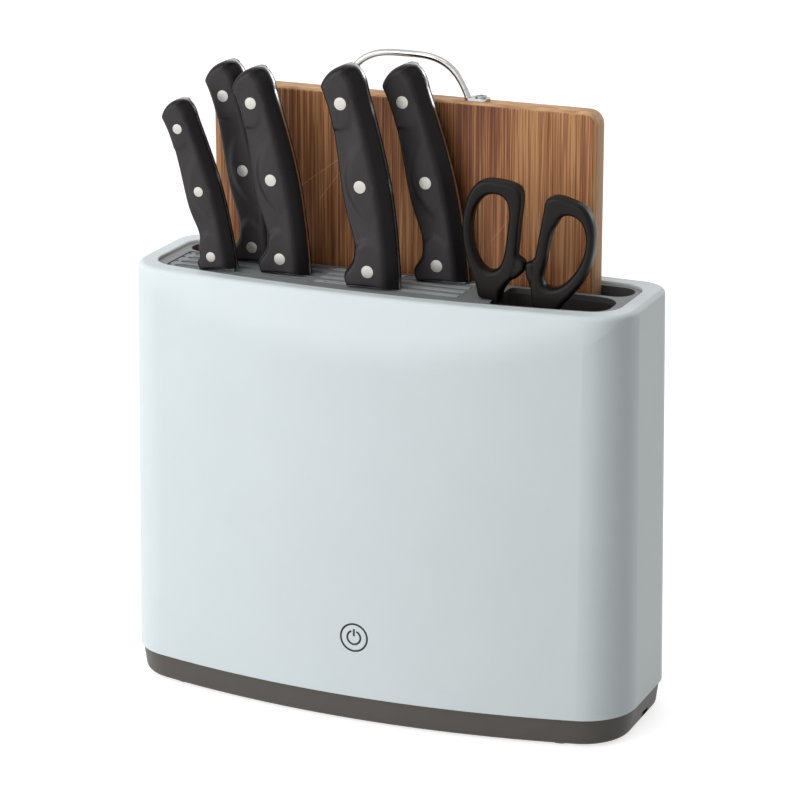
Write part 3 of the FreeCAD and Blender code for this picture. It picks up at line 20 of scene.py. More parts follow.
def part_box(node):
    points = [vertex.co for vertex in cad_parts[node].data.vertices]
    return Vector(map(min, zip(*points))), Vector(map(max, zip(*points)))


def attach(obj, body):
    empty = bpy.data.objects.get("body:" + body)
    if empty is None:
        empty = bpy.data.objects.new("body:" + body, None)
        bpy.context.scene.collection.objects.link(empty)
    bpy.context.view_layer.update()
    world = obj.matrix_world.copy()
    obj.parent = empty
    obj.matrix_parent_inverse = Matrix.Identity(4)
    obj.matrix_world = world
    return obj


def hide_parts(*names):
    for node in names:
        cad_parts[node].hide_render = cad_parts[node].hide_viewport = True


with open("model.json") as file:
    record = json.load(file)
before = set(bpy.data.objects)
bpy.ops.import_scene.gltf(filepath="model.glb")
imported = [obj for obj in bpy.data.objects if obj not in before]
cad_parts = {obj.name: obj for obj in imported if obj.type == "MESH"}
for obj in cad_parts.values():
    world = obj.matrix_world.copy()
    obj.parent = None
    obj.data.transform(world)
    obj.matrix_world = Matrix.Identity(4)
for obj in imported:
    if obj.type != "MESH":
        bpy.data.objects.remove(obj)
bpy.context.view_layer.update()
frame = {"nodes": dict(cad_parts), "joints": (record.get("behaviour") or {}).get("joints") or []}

# %% [markdown]
# ## Camera
#
# The photograph is taken with a long lens, from a little to the right and slightly above.
# The verticals hardly converge, which tells of a distance of about one and a half metres.
# The place and the lens below were worked out from the edges of the cabinet, so the
# picture needs no lens shift. Depth of field stays off.

# %% Camera at the photograph's place
CAMERA_PLACE = (0.646204, -1.524543, 0.681381)
CAMERA_AZIMUTH = 22.8
CAMERA_ELEVATION = 17.35
LENS_MM = 148.5
SENSOR_MM = 36.0
FARTHEST_SEEN = 20.0


def in_scene(name, data):
    """A new object of the given data, linked to the scene."""
    made = bpy.data.objects.new(name, data)
    bpy.context.scene.collection.objects.link(made)
    return made


camera_data = bpy.data.cameras.new("photo_camera")
camera_data.lens = LENS_MM
camera_data.sensor_width = SENSOR_MM
camera_data.clip_end = FARTHEST_SEEN
camera = in_scene("photo_camera", camera_data)
camera.location = CAMERA_PLACE
camera.rotation_euler = (math.radians(90.0 - CAMERA_ELEVATION), 0.0, math.radians(CAMERA_AZIMUTH))
bpy.context.scene.camera = camera
bpy.context.scene.view_settings.view_transform = "Standard"
print("camera distance (m):", round(Vector(CAMERA_PLACE).length, 3))

# %% [markdown]
# ## Small helpers for node work
#
# A finish is a small network of nodes, and so are the studio's light and some of the
# shapes. Written out in full, each one is thirty lines of making nodes and joining
# sockets. These helpers shorten that to one line a node, and they keep every pattern on
# Object coordinates, so a pattern stays on its piece when the piece moves. Colours are
# given as they look on a screen and turned into the linear values that the shader works in.

# %% Colour and node helpers
def paint(red, green, blue):
    """Screen colour, 0 to 255, as a linear colour with alpha."""
    def linear(value):
        value = value / 255.0
        return value / 12.92 if value <= 0.04045 else ((value + 0.055) / 1.055) ** 2.4
    return (linear(red), linear(green), linear(blue), 1.0)


class Network:
    """A node tree under construction."""

    def __init__(self, tree):
        self.tree = tree
        tree.nodes.clear()

    def add(self, kind, *order, **sockets):
        """Adds a node and feeds its inputs, in their order or by name."""
        node = self.tree.nodes.new(kind)
        named = [(name.replace("_", " "), value) for name, value in sockets.items()]
        for key, value in list(enumerate(order)) + named:
            self.feed(node, key, value)
        return node

    def feed(self, node, key, value):
        """Sets an input, or links another node's output to it."""
        if isinstance(value, bpy.types.NodeSocket):
            self.tree.links.new(value, node.inputs[key])
        else:
            node.inputs[key].default_value = value

    def calc(self, operation, first, second=0.0):
        node = self.add("ShaderNodeMath", first, second)
        node.operation = operation
        return node.outputs[0]

    def times(self, first, second):
        return self.calc("MULTIPLY", first, second)

    def plus(self, first, second):
        return self.calc("ADD", first, second)

    def between(self, value, low, high, low_out=0.0, high_out=1.0):
        """Rescales a value from one range to another, and clamps it."""
        return self.add("ShaderNodeMapRange", Value=value, From_Min=low, From_Max=high,
                        To_Min=low_out, To_Max=high_out).outputs[0]

    def ramp(self, value, *stops):
        """Colour ramp from (position, linear colour) stops."""
        node = self.add("ShaderNodeValToRGB", Fac=value)
        elements = node.color_ramp.elements
        while len(elements) < len(stops):
            elements.new(0.5)
        for element, (position, colour) in zip(elements, stops):
            element.position = position
            element.color = colour
        return node.outputs["Color"]

    def parts(self, vector):
        return self.add("ShaderNodeSeparateXYZ", vector).outputs

    def seen(self):
        """1 for what the camera sees directly, in a reflection or through glass, else 0."""
        rays = self.add("ShaderNodeLightPath").outputs
        mirrored = self.calc("MAXIMUM", rays["Is Glossy Ray"], rays["Is Transmission Ray"])
        return self.calc("MAXIMUM", rays["Is Camera Ray"], mirrored)


class Finish(Network):
    """A material under construction: a Principled shader and the nodes that feed it."""

    def __init__(self, name, **sockets):
        self.material = bpy.data.materials.new(name)
        self.material.use_nodes = True
        super().__init__(self.material.node_tree)
        self.shader = self.add("ShaderNodeBsdfPrincipled", **sockets)
        self.add("ShaderNodeOutputMaterial", Surface=self.shader.outputs[0])
        coordinates = self.add("ShaderNodeTexCoord").outputs
        self.place, self.facing = coordinates["Object"], self.parts(coordinates["Normal"])

    def stretched(self, scale, shift=(0.0, 0.0, 0.0)):
        """Object coordinates in features per metre: one number, or one for each axis."""
        scale = scale if isinstance(scale, tuple) else (scale, scale, scale)
        return self.add("ShaderNodeMapping", Vector=self.place, Scale=scale,
                        Location=shift).outputs[0]

    def noise(self, scale, detail=2.0, roughness=0.5, shift=(0.0, 0.0, 0.0)):
        return self.add("ShaderNodeTexNoise", Vector=self.stretched(scale, shift), Scale=1.0,
                        Detail=detail, Roughness=roughness).outputs["Fac"]

    def tones(self, value, *stops):
        """Colour ramp from (position, screen colour) stops."""
        return self.ramp(value, *[(position, paint(*colour)) for position, colour in stops])

    def mix(self, factor, first, second):
        node = self.add("ShaderNodeMix")
        node.data_type = "RGBA"
        for index, value in ((0, factor), (6, first), (7, second)):
            self.feed(node, index, value)
        return node.outputs[2]

    def done(self, colour, gloss, relief=None, **sockets):
        """Feeds the shader: a colour, a roughness and a relief of (height, depth in metres)."""
        if relief is not None:
            bump = self.add("ShaderNodeBump", Height=relief[0], Distance=relief[1])
            sockets["Normal"] = bump.outputs["Normal"]
        for name, value in {"Base_Color": colour, "Roughness": gloss, **sockets}.items():
            self.feed(self.shader, name.replace("_", " "), value)
        return self.material


def coat_nodes(material, *nodes):
    """Gives CAD nodes their finish through their material slots."""
    for name in nodes:
        part = frame["nodes"][name]
        if not part.material_slots:
            part.data.materials.append(material)
        for slot in part.material_slots:
            slot.material = material
    print(material.name, "on", ", ".join(nodes))

# %% [markdown]
# ## Studio
#
# The picture has a pure white background with only a thin contact shadow, and the light
# falls off from the left end of the front to the right. Shadows are soft, so most light
# comes from a large soft box at the front left, a smaller one overhead, and the world. The
# world is bright at the left and dark towards the right front, where a studio has a black
# flag. A weak lamp in front reaches the board between the handles, and another one behind
# on the right lights the right end a little. Seen directly or in a reflection the world is
# plain white, so the background costs no extra light on the object.

# %% World
WORLD_FILL = 0.98
FLAG_DIRECTION = (0.90, -0.43, 0.0)
FILL_STOPS = ((0.0, 1.0), (0.62, 0.60), (0.82, 0.02))

world = bpy.data.worlds.new("studio_world")
world.use_nodes = True
bpy.context.scene.world = world
sky = Network(world.node_tree)
direction = sky.add("ShaderNodeTexCoord").outputs["Generated"]
towards_flag = sky.add("ShaderNodeVectorMath", direction, FLAG_DIRECTION)
towards_flag.operation = "DOT_PRODUCT"
falloff = sky.ramp(sky.between(towards_flag.outputs["Value"], -1.0, 1.0),
                   *[(position, (grey, grey, grey, 1.0)) for position, grey in FILL_STOPS])
fill = sky.times(falloff, WORLD_FILL)
background = sky.add("ShaderNodeBackground", Color=(1.0, 1.0, 1.0, 1.0),
                     Strength=sky.between(sky.seen(), 0.0, 1.0, fill, 1.0))
sky.add("ShaderNodeOutputWorld", Surface=background.outputs[0])

# %% Soft boxes
def soft_box(name, place, target, width, height, watts):
    """A rectangular lamp that looks at a target."""
    data = bpy.data.lights.new(name, "AREA")
    data.shape = "RECTANGLE"
    data.size = width
    data.size_y = height
    data.energy = watts
    lamp = in_scene(name, data)
    lamp.location = place
    lamp.rotation_euler = (Vector(target) - Vector(place)).to_track_quat("-Z", "Y").to_euler()


soft_box("key_left", (-1.18, -1.40, 0.96), (0.0, 0.0, 0.18), 2.0, 1.7, 22.0)
soft_box("between_handles", (0.20, -1.60, 0.80), (0.0, 0.0, 0.24), 0.7, 0.7, 2.3)
soft_box("overhead", (-0.10, -0.55, 2.05), (0.0, 0.0, 0.25), 1.2, 1.2, 5.5)
soft_box("edge_right", (1.1, 1.9, 0.8), (0.1, 0.0, 0.15), 0.5, 0.9, 6.0)

# %% Floor
FLOOR_SIZE = 6.0
FLOOR_GLOW = 0.72

bpy.ops.mesh.primitive_grid_add(x_subdivisions=8, y_subdivisions=8, size=FLOOR_SIZE)
floor = bpy.context.active_object
floor.name = "studio_floor"
table_top = Finish("floor_white", Emission_Color=(1.0, 1.0, 1.0, 1.0))
mottle = table_top.noise(6.0, detail=3.0)
floor.data.materials.append(table_top.done(
    table_top.tones(mottle, (0.3, (190, 190, 190)), (0.7, (196, 196, 196))), 0.75,
    Emission_Strength=table_top.times(table_top.seen(), FLOOR_GLOW)))

# %% [markdown]
# ## Moulded plastics
#
# The shell is injection moulded and polished: close up it still has a very fine skin, and
# its gloss changes a little from place to place. The base and the insert come from
# textured moulds, which scatter more light. All of them follow one recipe with other
# numbers, so one function makes them. Two noises do the work: a slow one that shifts the
# colour by a few levels, and a fine one for the skin, which also breaks up the gloss. The
# insert's upright walls get a darker tone than its top, by the side that a point faces:
# this is painted shade, for the lesser light that falls on walls.

# %% Plastic recipe
def moulded_plastic(name, colour, drift, gloss, skin_per_mm, skin_depth_mm,
                    painted_wall_shade=None, **sockets):
    finish = Finish(name, **sockets)
    slow = finish.noise(14.0, detail=4.0, roughness=0.6)
    skin = finish.noise(1000.0 * skin_per_mm)
    shade = finish.tones(slow, (0.25, [part - drift for part in colour]),
                         (0.75, [part + drift for part in colour]))
    # Painted shade: faces that stand upright take the darker wall tone instead of the plastic's
    # own colour.
    if painted_wall_shade is not None:
        upward = finish.calc("ABSOLUTE", finish.facing[2])
        shade = finish.mix(finish.between(upward, 0.3, 0.8), paint(*painted_wall_shade), shade)
    return finish.done(shade, finish.between(skin, 0.3, 0.7, *gloss),
                       (skin, skin_depth_mm / 1000.0))


coat_nodes(moulded_plastic("shell_plastic", (217, 226, 228), 2, (0.40, 0.48), 2.2, 0.004,
                           Specular_IOR_Level=0.4), "outer_shell")
coat_nodes(moulded_plastic("base_plastic", (90, 86, 82), 3, (0.42, 0.55), 3.0, 0.012,
                           Specular_IOR_Level=0.25), "base_shell")
coat_nodes(moulded_plastic("insert_plastic", (127, 131, 133), 3, (0.40, 0.52), 3.0, 0.010,
                           painted_wall_shade=(84, 84, 85)), "insert_frame")
coat_nodes(moulded_plastic("inner_plastic", (84, 84, 84), 3, (0.45, 0.58), 3.0, 0.012),
           "chamber_deck", "drip_tray", "fan_frame", "heater_frame", "fan_rotor")
coat_nodes(moulded_plastic("well_plastic", (62, 55, 55), 3, (0.45, 0.58), 3.0, 0.012),
           "scissors_cup")

# %% [markdown]
# ## Soft parts of the insert
#
# The slit bank is a firm grey frame, and its right half holds lighter, softer lips that
# grip the blades. Soft rubber looks duller and a little cloudy, so its noise is larger and
# its gloss lower. The feet and the touch pad are the same rubber in other colours.

# %% Rubber recipe
def soft_rubber(name, colour, gloss=(0.62, 0.78)):
    finish = Finish(name, Specular_IOR_Level=0.35)
    cloud = finish.noise(60.0, detail=5.0, roughness=0.65)
    skin = finish.noise(2500.0, detail=1.0)
    shade = finish.tones(cloud, (0.3, [part * 0.93 for part in colour]),
                         (0.7, [part * 1.05 for part in colour]))
    return finish.done(shade, finish.between(cloud, 0.3, 0.7, *gloss), (skin, 0.00001))


coat_nodes(moulded_plastic("bank_plastic", (128, 133, 135), 3, (0.36, 0.50), 3.0, 0.008),
           "slit_plate")
coat_nodes(soft_rubber("lip_rubber", (164, 170, 171)), "soft_lips")
coat_nodes(soft_rubber("foot_rubber", (58, 57, 56)), "foot_1", "foot_2", "foot_3", "foot_4")
coat_nodes(soft_rubber("pad_rubber", (90, 92, 94)), "key_pad")

# %% [markdown]
# ## Black handle plastic
#
# The knife handles are satin black, and their flat faces carry faint clouds of tone. The
# bevels and rims are painted a deeper black than the faces, by the side that a point faces:
# this is painted shade, for the rims that turn away from the light. The scissors are
# darker, with a coarser, pebbled skin, and their rims are painted darker in the same way.

# %% Handle blacks
def black_with_shaded_rims(name, painted_rim_shade, face_tones, gloss, skin_per_m, skin_depth, **sockets):
    finish = Finish(name, **sockets)
    # Painted shade: where a point does not face straight out of the side, the darker rim tone
    # replaces the face colour.
    flat = finish.between(finish.calc("ABSOLUTE", finish.facing[1]), 0.78, 0.95)
    clouds = finish.noise((45.0, 45.0, 22.0), detail=6.0, roughness=0.6)
    skin = finish.noise(skin_per_m)
    face_colour = finish.tones(clouds, (0.3, face_tones[0]), (0.75, face_tones[1]))
    return finish.done(finish.mix(flat, paint(*painted_rim_shade), face_colour),
                       finish.between(clouds, 0.3, 0.75, *gloss), (skin, skin_depth))


handle_black = black_with_shaded_rims("handle_black", (20, 17, 18), ((52, 49, 51), (65, 61, 63)),
                            (0.36, 0.48), 3000.0, 0.000006, Specular_IOR_Level=0.16)
pebbled_black = black_with_shaded_rims("pebbled_black", (17, 13, 13), ((22, 18, 17), (30, 25, 24)),
                             (0.28, 0.38), 1400.0, 0.00003, Specular_IOR_Level=0.15)

# %% [markdown]
# ## Moulded grips
#
# A cast grip is not flat. Round each rivet stands a flat land: a tongue at the butt, a
# leaf in the middle and a bell at the foot. Between them the face leans down towards the
# belly, for the fingers, and along the spine it falls away in a wide bevel. Such a
# face is a height over a flat outline, so it is made that way here. The outline is cut
# from the CAD grip itself, so the new grip fits where the old one was. The space inside is
# filled with points, dense near the rim, and joined to triangles. Then each point is
# lifted to the height that the lands, hollows and bevels give it.

# %% Outline of a CAD node
WELD = 1e-6
CROWDED_SHARE = 0.4
SOFT_BEND = 1.9


def welded(node):
    """A CAD node's mesh for editing, with the corners of its faces joined up."""
    shape = bmesh.new()
    shape.from_mesh(frame["nodes"][node].data)
    bmesh.ops.remove_doubles(shape, verts=shape.verts, dist=WELD)
    return shape


def signed_area(loop):
    after = np.roll(loop, -1, axis=0)
    return 0.5 * float(np.sum(loop[:, 0] * after[:, 1] - after[:, 0] * loop[:, 1]))


def traced_loops(node, depth):
    """Closed outlines in X and Z where a plane across Y cuts a CAD node, the rim first."""
    shape = welded(node)
    cut = bmesh.ops.bisect_plane(shape, geom=shape.verts[:] + shape.edges[:] + shape.faces[:],
                                 plane_co=(0.0, depth, 0.0), plane_no=(0.0, 1.0, 0.0))
    neighbours = {}
    for edge in cut["geom_cut"]:
        if isinstance(edge, bmesh.types.BMEdge):
            for near, far in (edge.verts, reversed(edge.verts)):
                neighbours.setdefault(near, []).append(far)
    loops = []
    while neighbours:
        here = next(iter(neighbours))
        loop = []
        while here is not None:
            loop.append((here.co.x, here.co.z))
            onward = [vert for vert in neighbours.pop(here) if vert in neighbours]
            here = onward[0] if onward else None
        loops.append(np.array(loop))
    shape.free()
    loops.sort(key=lambda loop: -abs(signed_area(loop)))
    return [loop if (signed_area(loop) > 0) == (k == 0) else loop[::-1]
            for k, loop in enumerate(loops)]


def evened(loop, step):
    """Fills long runs with points on a smooth curve and thins out crowded ones."""
    crowded = step * CROWDED_SHARE
    kept = [loop[0]]
    for point in loop[1:]:
        if math.dist(point, kept[-1]) > crowded:
            kept.append(point)
    if math.dist(kept[0], kept[-1]) < crowded:
        kept.pop()
    result = []
    for k, here in enumerate(kept):
        there = kept[(k + 1) % len(kept)]
        run = there - here
        length = np.linalg.norm(run)
        slopes = []
        for other in (here - kept[k - 1], kept[(k + 2) % len(kept)] - there):
            far = np.linalg.norm(other)
            bends_softly = np.linalg.norm(other / far + run / length) > SOFT_BEND
            heading = other / far * length + run / length * far
            slopes.append(heading / np.linalg.norm(heading) * length if bends_softly else run)
        parts = max(1, round(length / step))
        for t in (j / parts for j in range(parts)):
            result.append(here * (2 * t**3 - 3 * t**2 + 1) + slopes[0] * (t**3 - 2 * t**2 + t)
                          + there * (3 * t**2 - 2 * t**3) + slopes[1] * (t**3 - t**2))
    return np.array(result)


# %% Distances and shares over the flat outline
def edges_of(*loops):
    """Starts and ends of all edges of the outlines."""
    return np.vstack(loops), np.vstack([np.roll(loop, -1, axis=0) for loop in loops])


def inside(points, loops):
    """Which points lie in the material between the outlines."""
    starts, ends = edges_of(*loops)
    x, z = points[:, :1], points[:, 1:]
    straddles = (starts[:, 1] > z) != (ends[:, 1] > z)
    rise = np.where(ends[:, 1] == starts[:, 1], 1.0, ends[:, 1] - starts[:, 1])
    crossing = starts[:, 0] + (z - starts[:, 1]) * (ends[:, 0] - starts[:, 0]) / rise
    return (straddles & (x < crossing)).sum(axis=1) % 2 == 1


def distance(points, starts, ends):
    """Shortest way from each point to any of the edges."""
    run = ends - starts
    reach = points[:, None, :] - starts
    share = np.clip((reach * run).sum(axis=2) / (run * run).sum(axis=1), 0.0, 1.0)
    return np.linalg.norm(reach - share[..., None] * run, axis=2).min(axis=1)


def round_off(away, width, drop):
    """Drop of a quarter-round rim that is width wide, at a distance from its edge."""
    near = 1.0 - np.clip(away / width, 0.0, 1.0)
    return drop * (1.0 - np.sqrt(1.0 - near**2))


def smooth_step(value, low, high):
    share = np.clip((value - low) / (high - low), 0.0, 1.0)
    return share * share * (3.0 - 2.0 * share)


# %% Points inside an outline, dense along its rim
RING_TURNS = (12.0, 26.0, 40.0, 54.0, 68.0, 82.0)
RING_CLEAR = 0.96
FIELD_CLEAR = 0.9
EDGE_CLEAR = 0.05


def inward_of(loop):
    """Direction from each point of an outline into the material."""
    heading = np.roll(loop, -1, axis=0) - np.roll(loop, 1, axis=0)
    heading = heading / np.linalg.norm(heading, axis=1)[:, None]
    return np.column_stack((-heading[:, 1], heading[:, 0]))


def filling(loops, round_loops, rim_width, spacing):
    """Points for the face: rings that follow the rims, then an even field."""
    starts, ends = edges_of(*loops)
    points = []
    for loop in round_loops:
        inward = inward_of(loop)
        for turn in RING_TURNS:
            deep = rim_width * (1.0 - math.cos(math.radians(turn)))
            ring = loop + inward * deep
            points.append(ring[distance(ring, starts, ends) > deep * RING_CLEAR])
    low, high = loops[0].min(axis=0), loops[0].max(axis=0)
    field = np.stack(np.meshgrid(np.arange(low[0], high[0], spacing),
                                 np.arange(low[1], high[1], spacing)), axis=-1).reshape(-1, 2)
    points.append(field[distance(field, starts, ends) > rim_width * FIELD_CLEAR])
    points = np.vstack(points)
    clear = distance(points, starts, ends) > spacing * EDGE_CLEAR
    return points[inside(points, loops) & clear]


def joined(loops, inner):
    """Points, triangles and rim edges of the face between the outlines."""
    given = np.vstack(list(loops) + [inner])
    edges = []
    first = 0
    for loop in loops:
        edges += [(first + k, first + (k + 1) % len(loop)) for k in range(len(loop))]
        first += len(loop)
    made = geometry.delaunay_2d_cdt([Vector(point) for point in given], edges, [], 0, 1e-8)
    points = np.array([tuple(point) for point in made[0]])
    triangles = [tuple(face) for face in made[2] if len(face) == 3]
    middles = points[np.array(triangles)].mean(axis=1)
    triangles = [face for face, keep in zip(triangles, inside(middles, loops)) if keep]
    sides = {(face[k - 1], face[k]) for face in triangles for k in range(3)}
    rim = [(here, there) for here, there in sorted(sides) if (there, here) not in sides]
    return points, triangles, rim


# %% Closed piece from a front and a back height
SHARP_ON_GRIPS = 38.0
SHARP_ON_METAL = 32.0


def closed(name, mesh, clean):
    """Runs a cleaning step on a mesh, turns its faces outward and counts its open edges."""
    shape = bmesh.new()
    shape.from_mesh(mesh)
    clean(shape)
    bmesh.ops.recalc_face_normals(shape, faces=shape.faces)
    open_edges = sum(not edge.is_manifold for edge in shape.edges)
    shape.to_mesh(mesh)
    shape.free()
    print(name, "faces:", len(mesh.polygons), "open edges:", open_edges)


def smoothed(mesh, sharp_degrees):
    """Shades a mesh smooth, apart from edges that turn by more than an angle."""
    mesh.polygons.foreach_set("use_smooth", [True] * len(mesh.polygons))
    mesh.set_sharp_from_angle(angle=math.radians(sharp_degrees))


def drop_loose(shape):
    loose = [vert for vert in shape.verts if not vert.link_faces]
    bmesh.ops.delete(shape, geom=loose, context="VERTS")


def hand_over(piece, node, body):
    """Puts a made piece in the place of a CAD node, on a body."""
    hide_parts(node)
    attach(piece, body)


def relief_piece(name, loops, inner, front, back, material):
    """Closed mesh between two surfaces over one outline. front and back give Y at points."""
    points, triangles, rim = joined(loops, inner)
    count = len(points)
    verts = [(x, y, z) for (x, z), y in zip(points, front(points))]
    verts += [(x, y, z) for (x, z), y in zip(points, back(points))]
    faces = triangles + [tuple(count + k for k in reversed(face)) for face in triangles]
    faces += [(there, here, count + here, count + there) for here, there in rim]
    mesh = bpy.data.meshes.new(name)
    mesh.from_pydata(verts, [], faces)
    closed(name, mesh, drop_loose)
    smoothed(mesh, SHARP_ON_GRIPS)
    mesh.materials.append(material)
    return in_scene(name, mesh)


# %% [markdown]
# The shapes of the lands and rims are given for a handle of size 1, in millimetres from the
# lower corner of the spine: across, then up. The rivets of all five knives share these
# places, and a knife's size is its grip's length against that of size 1.

# %% Face of a knife grip
KNIVES = ("paring", "utility", "santoku", "chef", "slicing")
GRIP_LENGTH = 108.4
HOLLOW_LEAN = 0.13
LAND_SOFTNESS = 4.0
SPINE_BEVEL = (7.2, 5.8)
RIM_ROUND = (3.2, 4.8)
FOOT_ROUND = (1.3, 2.0)

OUTLINE_IN = 0.0003
OUTLINE_STEP = 0.0009
FACE_SPACING = 0.0011

SHOULDER_PASSES = 16
SHOULDER_SHARE = 0.22
BUTT_SHARE = 0.1
SPINE_SIDE = 0.6
FLOOR_SIDE = -0.75
RIDGE_SHARE = 0.7
DEEPEST_SHARE = 0.8

TONGUE = ((-37.0, 101.0), 6.6, 17.7, 6.0)
LEAF = ((-15.6, 54.0), 10.5, 20.0, 4.0)
BELL = ((-15.0, 4.0), 12.0, 20.0, 0.0)


def leaf_gap(u, v, middle, half_width, half_length, tilt):
    """Distance from a pointed leaf, the overlap of two circles, negative inside."""
    turn = math.radians(tilt)
    across = (u - middle[0]) * math.cos(turn) + (v - middle[1]) * math.sin(turn)
    along = (v - middle[1]) * math.cos(turn) - (u - middle[0]) * math.sin(turn)
    radius = (half_width**2 + half_length**2) / (2.0 * half_width)
    return np.hypot(np.abs(across) + radius - half_width, along) - radius


def tongue_gap(u, v, middle, half_width, half_length, rounding):
    """Distance from the butt land, a long block with round corners."""
    wide = np.maximum(np.abs(u - middle[0]) - half_width, 0.0)
    tall = np.maximum(np.abs(v - middle[1]) - half_length, 0.0)
    return np.hypot(wide, tall) - rounding


def land_share(u, v):
    """1 on the lands, 0 in the hollows: the tongue, the leaf and the bell."""
    share = np.zeros_like(u)
    for gap, softness in (
        (tongue_gap(u, v, *TONGUE), LAND_SOFTNESS * 0.7),
        (leaf_gap(u, v, *LEAF), LAND_SOFTNESS * 1.2),
        (leaf_gap(u, v, *BELL), LAND_SOFTNESS),
    ):
        share = np.maximum(share, 1.0 - smooth_step(gap, -softness / 2, softness / 2))
    return share


def joint_line(name):
    """Place and direction of a joint, in X and Z, and its row in Y."""
    joint = next(joint for joint in frame["joints"] if joint["name"] == name)
    place, axis = joint["pos_m"], joint["axis"]
    return np.array((place[0], place[2])), np.array((axis[0], axis[2])), place[1]


def knife_grip(knife, side):
    node = knife + "_grip_" + side
    _, up, row = joint_line(knife + "_draw")
    right = np.array((up[1], -up[0]))
    low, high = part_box(node)
    outer, inner = (low[1], high[1]) if side == "front" else (high[1], low[1])
    sign = -1.0 if side == "front" else 1.0
    loops = [evened(loop, OUTLINE_STEP)
             for loop in traced_loops(node, inner + sign * OUTLINE_IN)]
    heights, aside = loops[0] @ up, loops[0] @ right
    from_top = heights.max() - heights
    spine_line = np.median(aside[from_top < BUTT_SHARE * np.ptp(heights)])
    on_shoulder = (from_top < SHOULDER_SHARE * np.ptp(heights)) & (aside > spine_line)
    for _ in range(SHOULDER_PASSES):
        middles = (np.roll(loops[0], 1, axis=0) + np.roll(loops[0], -1, axis=0)) / 2
        loops[0] = np.where(on_shoulder[:, None], (loops[0] + middles) / 2, loops[0])
    rim = loops[0]
    heights = rim @ up
    unit = np.ptp(heights) / GRIP_LENGTH
    spine_foot = rim[np.argmin(-(rim @ right) + 4.0 * np.abs(heights - heights.min()))]

    starts, ends = edges_of(rim)
    heading = (ends - starts) / np.linalg.norm(ends - starts, axis=1)[:, None]
    outward = np.column_stack((heading[:, 1], -heading[:, 0]))
    faces_spine = outward @ right > SPINE_SIDE
    faces_floor = outward @ up < FLOOR_SIDE
    rest = ~faces_spine & ~faces_floor
    thickness = abs(outer - row)

    def surface(points):
        from_foot = points - spine_foot
        u, v = from_foot @ right / unit, from_foot @ up / unit
        from_spine = distance(points, starts[faces_spine], ends[faces_spine])
        bevel = 1.0 - np.clip(from_spine / (SPINE_BEVEL[0] * unit), 0.0, 1.0)
        drop = SPINE_BEVEL[1] * unit * (0.45 * bevel + 0.55 * bevel**2)
        for edge_kind, (width, deep) in ((rest, RIM_ROUND), (faces_floor, FOOT_ROUND)):
            away = distance(points, starts[edge_kind], ends[edge_kind])
            drop = np.maximum(drop, round_off(away, width * unit, deep * unit))
        below_ridge = np.clip(from_spine / unit - SPINE_BEVEL[0] * RIDGE_SHARE, 0.0, None)
        hollow = HOLLOW_LEAN * below_ridge * unit * (1.0 - land_share(u, v))
        deepest = thickness * DEEPEST_SHARE
        return row + sign * (thickness - np.minimum(np.hypot(drop, hollow), deepest))

    points = filling(loops, loops[:1], RIM_ROUND[0] * unit, FACE_SPACING)
    grip = relief_piece(knife + "_moulded_" + side, loops, points, surface,
                        lambda points: np.full(len(points), inner), handle_black)
    hand_over(grip, node, knife + "_knife")


for knife in KNIVES:
    for side in ("front", "rear"):
        knife_grip(knife, side)

# %% [markdown]
# The scissors' grips are rounder. Their outer rim has a small radius, and the finger hole
# opens like a funnel on both sides. Where the limb of a loop is narrow, both curves meet
# in a ridge. The nose on each stem, where the halves meet, is a little thinner.

# %% Scissors grips
OUTER_RIM = (0.0022, 0.0032)
HOLE_FUNNEL = (0.0028, 0.0035)
HOLE_TIGHTER = 0.0007
NOSE_DROP = 0.0009
NOSE_EDGE = 0.0012
NOSE_RUNOUT = 0.002
THINNEST_HALF = 0.0006
LOOP_CUT_DEPTH = 0.0024
LOOP_STEP = 0.0008
LOOP_SPACING = 0.0010


def scissors_grip(side, body, nose_line):
    """A rounded grip. The nose is thinner beyond a line, given in mm from the pivot."""
    node = "scissors_grip_" + side
    pivot, _, _ = joint_line("scissors_open")
    low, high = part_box(node)
    middle = (low[1] + high[1]) / 2
    half = (high[1] - low[1]) / 2
    loops = [evened(loop, LOOP_STEP) for loop in traced_loops(node, middle - LOOP_CUT_DEPTH)]
    loops[1] = loops[1] - inward_of(loops[1]) * HOLE_TIGHTER
    print(node, "outlines:", [len(loop) for loop in loops])
    nose_start, nose_end = (np.array(place) / 1000.0 for place in nose_line)
    nose_length = math.dist(nose_start, nose_end)
    nose_run = (nose_end - nose_start) / nose_length
    beyond = np.array((nose_run[1], -nose_run[0]))

    def thickness(points):
        outer = round_off(distance(points, *edges_of(loops[0])), *OUTER_RIM)
        funnel = round_off(distance(points, *edges_of(loops[1])), *HOLE_FUNNEL)
        local = points - pivot - nose_start
        nose = smooth_step(local @ beyond, 0.0, NOSE_EDGE)
        nose = nose * smooth_step(local @ nose_run, -NOSE_RUNOUT, 0.0)
        nose = nose * smooth_step(local @ nose_run, nose_length + NOSE_RUNOUT, nose_length)
        return half - np.minimum(np.hypot(outer, funnel) + nose * NOSE_DROP,
                                 half - THINNEST_HALF)

    points = filling(loops, loops, HOLE_FUNNEL[0], LOOP_SPACING)
    grip = relief_piece("scissors_moulded_" + side, loops, points,
                        lambda points: middle - thickness(points),
                        lambda points: middle + thickness(points), pebbled_black)
    hand_over(grip, node, body)


scissors_grip("left", "scissors", ((-9.8, 29.0), (-5.0, 46.5)))
scissors_grip("right", "scissors_half", ((4.6, 45.0), (3.3, 20.0)))

# %% [markdown]
# ## Steel, rivets and bright rod
#
# Blades are ground across, which leaves fine lines from spine to edge, so the noise is
# stretched hard that way. Rivets are turned and dulled: their white look is a rough
# metal that mirrors the white studio. The board's rod is polished and shows it clearly.

